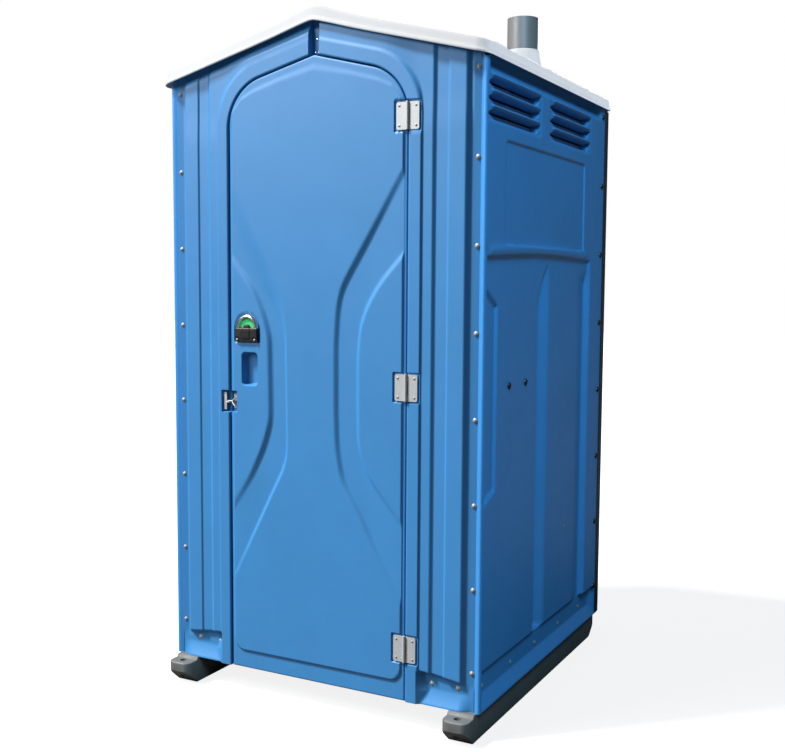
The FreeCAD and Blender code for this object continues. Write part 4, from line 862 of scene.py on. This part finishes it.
def cut_hole(obj, x, y, r, z0, z1, mat):
    s = Soup()
    a = np.arange(40) * 2 * math.pi / 40
    P = np.array([[(x + r * math.cos(t), y + r * math.sin(t), z) for t in a] for z in (z0, z1)])
    s.loft(P)
    me = bpy.data.meshes.new("cutter")
    me.from_pydata((np.concatenate(s.v) * 0.001).tolist(), [], s.f)
    bm = bmesh.new(); bm.from_mesh(me); bmesh.ops.recalc_face_normals(bm, faces=bm.faces); bm.to_mesh(me); bm.free()
    cu = bpy.data.objects.new("cutter", me)
    scene.collection.objects.link(cu)
    md = obj.modifiers.new("hole", "BOOLEAN")
    md.operation, md.solver, md.object = "DIFFERENCE", "EXACT", cu
    dg = bpy.context.evaluated_depsgraph_get()
    new = bpy.data.meshes.new_from_object(obj.evaluated_get(dg))
    obj.modifiers.clear()
    old = obj.data
    obj.data = new
    new.name = obj.name
    bpy.data.meshes.remove(old)
    bpy.data.objects.remove(cu)
    bpy.data.meshes.remove(me)
    new.polygons.foreach_set("use_smooth", [True] * len(new.polygons))
    new.set_sharp_from_angle(angle=math.radians(38))


for sgn, tag in ((-1, "left"), (1, "right")):
    o = make("skid_%s_moulding" % tag, skid(sgn), "cabin", ["skid_" + tag], SKID, recalc=True)
    cut_hole(o, sgn * 500.0, -560.0, 11.0, -10.0, 120.0, SKID)


# ------------------------------------------------------- latch and hasp
def plate(s, xs, zs, yfun, yback, mask=None):
    X, Z = np.meshgrid(xs, zs)
    Y = yfun(X, Z)
    s.shell([(np.stack([X, Y, Z], -1), np.stack([X, np.full_like(X, yback), Z], -1), mask)])


def latch_block():
    s = Soup()
    x0, x1, z0, z1 = LX - 41.0, LX + 41.0, LZ - 46.0, LZ - 2.0
    xs = lines(ar(x0, x1, 2.0), [x0 + k for k in (0.4, 1.2, 2.4)], [x1 - k for k in (0.4, 1.2, 2.4)])
    zs = lines(ar(z0, z1, 2.0), [z0 + k for k in (0.4, 1.2, 2.4)], [z1 - k for k in (0.4, 1.2, 2.4)])

    def h(x, z):
        d = -rbox(x, z, LX, (z0 + z1) / 2, 41.0, 22.0, 3.5)
        grip = S((15.0 - np.abs(x - LX)) / 3.0) * S((z - z0 - 8.0) / 4.0)
        ribs = 0.7 * (0.5 + 0.5 * np.cos((x - LX) * 2 * math.pi / 6.0)) * S((27.0 - np.abs(x - LX)) / 3.0) * S((z - z0 - 9.0) / 3.0) * S((z1 - 4.0 - z) / 3.0)
        seat = 1.6 * np.maximum(S((8.5 - np.hypot(x - LX - 33, z - LZ + 39)) / 1.5), S((8.5 - np.hypot(x - LX + 33, z - LZ + 39)) / 1.5))
        return FACE - 8.0 - 1.6 * grip - ribs + seat + over(np.maximum(d, 0.0), 3.0)

    X, Z = np.meshgrid(xs, zs)
    back = np.where(np.hypot(X - LX, Z - LZ) < 33.5, FACE + 0.4, FACE + 6.8)
    s.shell([(np.stack([X, h(X, Z), Z], -1), np.stack([X, back, Z], -1), None)])
    # round boss of the turn behind the block's top edge
    b = Soup()
    a = np.linspace(0, math.pi, 25)
    pr = [(0.0, FACE + 0.3), (0.0, FACE - 7.4), (9.0, FACE - 7.4), (11.0, FACE - 6.8), (12.0, FACE - 5.5), (12.0, FACE + 0.3)]
    R = np.array([[(LX + max(r, 0.02) * math.cos(t), y, LZ - 2.5 + max(r, 0.02) * math.sin(t)) for r, y in pr] for t in a])
    b.loft(R, flip=True)
    s.add(np.concatenate(b.v), b.f)
    return s


def latch_bezel():
    s = Soup()
    pr = [(32.0, FACE + 6.6), (32.0, FACE + 0.5), (29.0, FACE + 0.4), (29.0, FACE - 2.5), (29.8, FACE - 4.6), (31.6, FACE - 5.6), (34.0, FACE - 5.9), (36.4, FACE - 5.4), (38.4, FACE - 3.8), (39.6, FACE - 1.4),
          (40.0, FACE + 1.5), (40.0, FACE + 6.6)]
    R = np.array([[(LX + r * math.cos(t), y, LZ + r * math.sin(t)) for r, y in pr] for t in np.linspace(-0.07, math.pi + 0.07, 49)])
    s.loft(R, flip=True)
    return s


def bar(s, p, q, w, t, up=(0, 1, 0)):
    """A flat bar from p to q, w wide and t thick, with softened edges."""
    p, q, u = Vector(p), Vector(q), Vector(up)
    d = (q - p).normalized()
    n = d.cross(u).normalized()
    e = min(w, t) * 0.22
    prof = [(-w / 2 + e, -t / 2), (w / 2 - e, -t / 2), (w / 2, -t / 2 + e), (w / 2, t / 2 - e), (w / 2 - e, t / 2), (-w / 2 + e, t / 2), (-w / 2, t / 2 - e), (-w / 2, -t / 2 + e)]
    rings = []
    for o, k in ((0.0, 0.86), (e, 1.0)):
        c = p + d * o
        rings.append([tuple(c + n * a * k + u * b * k) for a, b in prof])
    for o, k in ((e, 1.0), (0.0, 0.86)):
        c = q - d * o
        rings.append([tuple(c + n * a * k + u * b * k) for a, b in prof])
    s.loft(np.array(rings))


def hasp_jamb():
    s = Soup()
    y = FACE + 8.0
    bar(s, (-338.0, y, 921.0), (-338.0, y, 977.0), 12.0, 2.5)
    bar(s, (-343.0, y + 4.6, 921.0), (-343.0, y + 4.6, 977.0), 2.5, 10.5)
    bar(s, (-334.0, FACE + 10.5, 945.5), (-319.5, FACE + 10.5, 945.5), 3.0, 12.0)
    return s


def hasp_door():
    s = Soup()
    bar(s, (-301.0, FACE + 17.0, 926.0), (-301.0, FACE + 17.0, 972.0), 19.0, 2.5)
    bar(s, (-312.5, FACE + 9.5, 949.0), (-294.0, FACE + 5.0, 960.5), 3.0, 9.0)
    bar(s, (-312.5, FACE + 9.5, 949.0), (-297.0, FACE + 5.0, 933.0), 3.0, 9.0)
    bar(s, (-327.0, FACE + 9.5, 949.4), (-306.0, FACE + 9.5, 949.4), 3.0, 12.0)
    bar(s, (-307.0, FACE + 9.5, 949.4), (-307.0, FACE + 17.0, 949.4), 3.0, 12.0, up=(1, 0, 0))
    return s


make("latch_front_block", latch_block(), "door", ["latch_housing"], BLACK, recalc=True)
make("latch_bezel", latch_bezel(), "door", ["latch_housing"], CHROME, recalc=True)
make("hasp_jamb_plate", hasp_jamb(), "cabin", ["padlock_bracket_jamb"], STEEL, recalc=True)
make("hasp_door_plate", hasp_door(), "door", ["padlock_bracket_door"], STEEL, recalc=True)


# ------------------------------------------------- carried-over CAD nodes
def dress(mat, *names):
    for n in names:
        o = frame["nodes"][n]
        if o.hide_render:
            continue
        me = o.data
        if not me.materials:
            me.materials.append(mat)
        for i in range(len(me.materials)):
            me.materials[i] = mat


MATS = [
    (RIVET, ["front_rivets", "base_rivets", "tank_rivets", "hinge_rivets_frame", "hinge_rivets_door", "latch_screws", "urinal_screws", "skid_bolts"]),
    (STEEL, ["hinge_%s_%s" % (a, b) for a in ("top", "middle", "bottom") for b in ("frame_leaf", "door_leaf", "pin")] + ["padlock_bracket_jamb", "padlock_bracket_door", "coat_hook", "lid_hinge_pins", "latch_strike"]),
    (BLACK, ["latch_housing", "latch_lever", "latch_inner_plate", "latch_spindle", "rear_corner_trim_left", "rear_corner_trim_right", "toilet_seat", "seat_lid"]),
    (GREEN, ["indicator_vacant"]), (RED, ["indicator_occupied"]),
    (PIPE, ["vent_pipe", "urinal_drain_pipe"]),
    (TANK, ["holding_tank", "floor_pan"]),
    (GREY, ["urinal", "paper_holder_bracket", "paper_spindle"]),
    # the header rivets take the bright chrome finish instead of the rivet finish of the other rivets: a painted
    # highlight for rivets that sit in the eaves' shade
    (BLUE, ["header_splice"]), (CHROME, ["header_rivets"]),
]


def dome(s, c, axis, r, h, base=1.2):
    """A domed rivet head with a short rim, its flat side at c and its crown along axis."""
    c, n = Vector(c), Vector(axis).normalized()
    u = n.orthogonal().normalized()
    w = n.cross(u)
    rings = []
    for q, k in ((r * 0.90, -0.6), (r * 0.97, 0.0), (r, base * 0.5), (r * 0.975, base), *[(r * 0.975 * math.cos(a), base + (h - base) * math.sin(a)) for a in np.linspace(0.25, 1.42, 6)]):
        rings.append([tuple(c + n * k + u * (q * math.cos(t)) + w * (q * math.sin(t))) for t in np.linspace(0, 2 * math.pi, 24, endpoint=False)])
    s.loft(np.array(rings))




def urinal():
    """Deep bowl with a rolled rim on a rounded back plate, and a strainer."""
    s = Soup()
    xb, yc = -W2 + 17.4, 35.0

    def ring(depth, half, z, gap=0.0):
        t = np.linspace(0, math.pi, 45)
        x = xb + gap + np.abs(np.sin(t)) ** 0.72 * (depth - gap)
        y = yc + np.sign(np.cos(t)) * np.abs(np.cos(t)) ** 0.72 * half
        bk = np.linspace(-half, half, 9)[1:-1]
        return np.stack([np.concatenate([x, np.full(7, xb + gap)]), np.concatenate([y, yc + bk]), np.full(52, z)], -1)

    zz = np.array([701.0, 703.0, 709.0, 722.0, 742.0, 766.0, 790.0, 812.0, 836.0, 858.0])
    dd = np.interp(zz, [701, 709, 742, 790, 836, 858], [52.0, 62.0, 90.0, 130.0, 152.0, 155.0])
    hh = np.interp(zz, [701, 709, 742, 836, 858], [70.0, 77.0, 86.0, 94.0, 94.5])
    R = [ring(d, h, z) for d, h, z in zip(dd, hh, zz)]
    R += [ring(158.5, 94.8, 862.0), ring(159.5, 95.0, 866.0), ring(158.0, 94.0, 869.2), ring(154.5, 91.0, 870.0, 7.0), ring(151.0, 88.0, 868.5, 7.4), ring(148.5, 87.0, 864.0, 7.6)]
    for z in (850.0, 830.0, 806.0, 784.0, 762.0, 742.0, 726.0, 716.0):
        R.append(ring(np.interp(z, zz, dd) - 7.0 - (742.0 - min(z, 742.0)) * 0.35, np.interp(z, zz, hh) - 7.0, z, 7.6))
    R.append(ring(30.0, 40.0, 711.0, 9.0))
    s.loft(np.array(R))

    def slab(x, e):
        pts = []
        for cy, cz, a in ((106.0, 986.0, 0.0), (-36.0, 986.0, 0.5), (-36.0, 730.0, 1.0), (106.0, 730.0, 1.5)):
            for t in np.linspace(a * math.pi, (a + 0.5) * math.pi, 9):
                pts.append((x, cy + (23.8 - e) * math.cos(t), cz + (23.8 - e) * math.sin(t)))
        return pts

    s.loft(np.array([slab(xb, 0.4), slab(xb + 0.6, 0.0), slab(xb + 4.0, 0.0), slab(xb + 5.2, 0.6), slab(xb + 5.9, 1.9)]))
    dome(s, (xb + 24.0, 60.0 - 24.0, 711.2), (0, 0, 1), 15.0, 4.0)
    return s


make("urinal_moulding", urinal(), "cabin", ["urinal"], GREY, recalc=True)
s = Soup()
for sg in (-1, 1):
    for k in range(8):
        dome(s, (sg * 552.2, 535.5, 199.8 + 246.4 * k), (sg, 0, 0), 10.0, 7.0)
make("rear_rivet_caps", s, "cabin", ["rear_rivets"], DARKMETAL, recalc=True)
s = Soup()
for yy in (-307.0, -171.0):
    dome(s, (541.4, yy, 1023.0), (1, 0, 0), 10.5, 7.5)
    dome(s, (525.0, yy, 1023.0), (-1, 0, 0), 6.0, 3.0)
make("holder_bolt_caps", s, "cabin", ["holder_bolts"], DARKMETAL, recalc=True)

done = {"rear_rivets", "holder_bolts"}
for mat, names in MATS:
    dress(mat, *names)
    done |= set(names)
left = [n for n, o in frame["nodes"].items() if not o.hide_render and n not in done]
print("nodes without a finish:", left)


# ------------------------------------------------------- stage and light
def world():
    w = bpy.data.worlds.new("studio")
    scene.world = w
    w.use_nodes = True
    t = w.node_tree
    t.nodes.clear()
    out = t.nodes.new("ShaderNodeOutputWorld")
    mix = t.nodes.new("ShaderNodeMixShader")
    a, b = t.nodes.new("ShaderNodeBackground"), t.nodes.new("ShaderNodeBackground")
    lp = t.nodes.new("ShaderNodeLightPath")
    a.inputs[0].default_value, a.inputs[1].default_value = (0.66, 0.86, 1.0, 1), 0.135
    b.inputs[0].default_value, b.inputs[1].default_value = (1, 1, 1, 1), 1.0
    t.links.new(lp.outputs["Is Camera Ray"], mix.inputs[0])
    t.links.new(a.outputs[0], mix.inputs[1])
    t.links.new(b.outputs[0], mix.inputs[2])
    t.links.new(mix.outputs[0], out.inputs[0])


def floor():
    me = bpy.data.meshes.new("floor")
    n = 8
    g = np.linspace(-24, 24, n)
    v = [(float(x), float(y), 0.0) for y in g for x in g]
    f = [(j * n + i, j * n + i + 1, (j + 1) * n + i + 1, (j + 1) * n + i) for j in range(n - 1) for i in range(n - 1)]
    me.from_pydata(v, [], f)
    k = bpy.data.materials.new("floor_paint")
    k.use_nodes = True
    t = k.node_tree
    t.nodes.clear()
    out = t.nodes.new("ShaderNodeOutputMaterial")
    mix = t.nodes.new("ShaderNodeMixShader")
    a, b = t.nodes.new("ShaderNodeBsdfDiffuse"), t.nodes.new("ShaderNodeBsdfDiffuse")
    e, add = t.nodes.new("ShaderNodeEmission"), t.nodes.new("ShaderNodeAddShader")
    lp = t.nodes.new("ShaderNodeLightPath")
    a.inputs[0].default_value = (0.11, 0.11, 0.11, 1)
    b.inputs[0].default_value = (0.30, 0.30, 0.30, 1)
    e.inputs[0].default_value, e.inputs[1].default_value = (1, 1, 1, 1), 0.86
    t.links.new(lp.outputs["Is Camera Ray"], mix.inputs[0])
    t.links.new(a.outputs[0], mix.inputs[1])
    t.links.new(b.outputs[0], add.inputs[0])
    t.links.new(e.outputs[0], add.inputs[1])
    t.links.new(add.outputs[0], mix.inputs[2])
    t.links.new(mix.outputs[0], out.inputs[0])
    me.materials.append(k)
    o = bpy.data.objects.new("floor", me)
    scene.collection.objects.link(o)


def light(kind, name, loc, target, energy, **kw):
    d = bpy.data.lights.new(name, kind)
    d.energy = energy
    for a, v in kw.items():
        setattr(d, a, v)
    o = bpy.data.objects.new(name, d)
    scene.collection.objects.link(o)
    o.location = loc
    o.rotation_euler = (Vector(target) - Vector(loc)).to_track_quat("-Z", "Y").to_euler()
    return o


world()
floor()
key = light("SUN", "key", (-5.3, -4.15, 9.2), (0, 0, 0), 7.3, angle=math.radians(9), color=(1.0, 0.99, 0.965))
roof_key = light("SUN", "roof_key", (-5.3, -4.15, 9.2), (0, 0, 0), 3.0, angle=math.radians(9), color=(1.0, 0.99, 0.965))
rear = light("AREA", "rear_fill", (-1.2, 6.0, 3.2), (0.0, 0.6, 1.0), 330.0, shape="RECTANGLE", size=2.6, size_y=2.2, color=(0.97, 0.99, 1.0))
light("AREA", "front_softbox", (-2.9, -4.0, 3.7), (0.0, -0.5, 1.5), 186.0, shape="RECTANGLE", size=2.6, size_y=2.2, color=(1.0, 1.0, 1.0))
side_fill = light("AREA", "side_fill", (2.7, -3.3, 4.7), (0.55, 0.0, 1.0), 325.0, shape="RECTANGLE", size=2.0, size_y=2.0, color=(0.36, 0.75, 1.0))
rim = light("AREA", "roof_edge_fill", (4.5, 0.2, 2.4), (0.55, 0.2, 2.0), 180.0, shape="RECTANGLE", size=2.0, size_y=1.2, color=(0.86, 0.93, 1.0))


def only(lamp, name, objs):
    """Lets a fill light reach just the given pieces."""
    c = bpy.data.collections.new(name)
    for o in objs:
        c.objects.link(o)
    lamp.light_linking.receiver_collection = c


FRONT = ("floor", "door_front_skin", "front_jamb", "header_", "hinge_", "latch_", "hasp_", "front_rivets", "roof_")
only(rim, "roof_edge_only", [ROOF])
only(side_fill, "side_fill_reach", [o for o in scene.objects if o.type == "MESH" and not o.name.startswith(FRONT)])
only(key, "key_reach", [o for o in scene.objects if o.type == "MESH" and o != ROOF])
only(roof_key, "roof_key_only", [ROOF])
only(rear, "rear_fill_reach", [o for o in scene.objects if o.type == "MESH" and (o.name.startswith(("back_wall", "rear_corner", "base_rivets", "skid_", "vent_pipe")) or o == ROOF)])
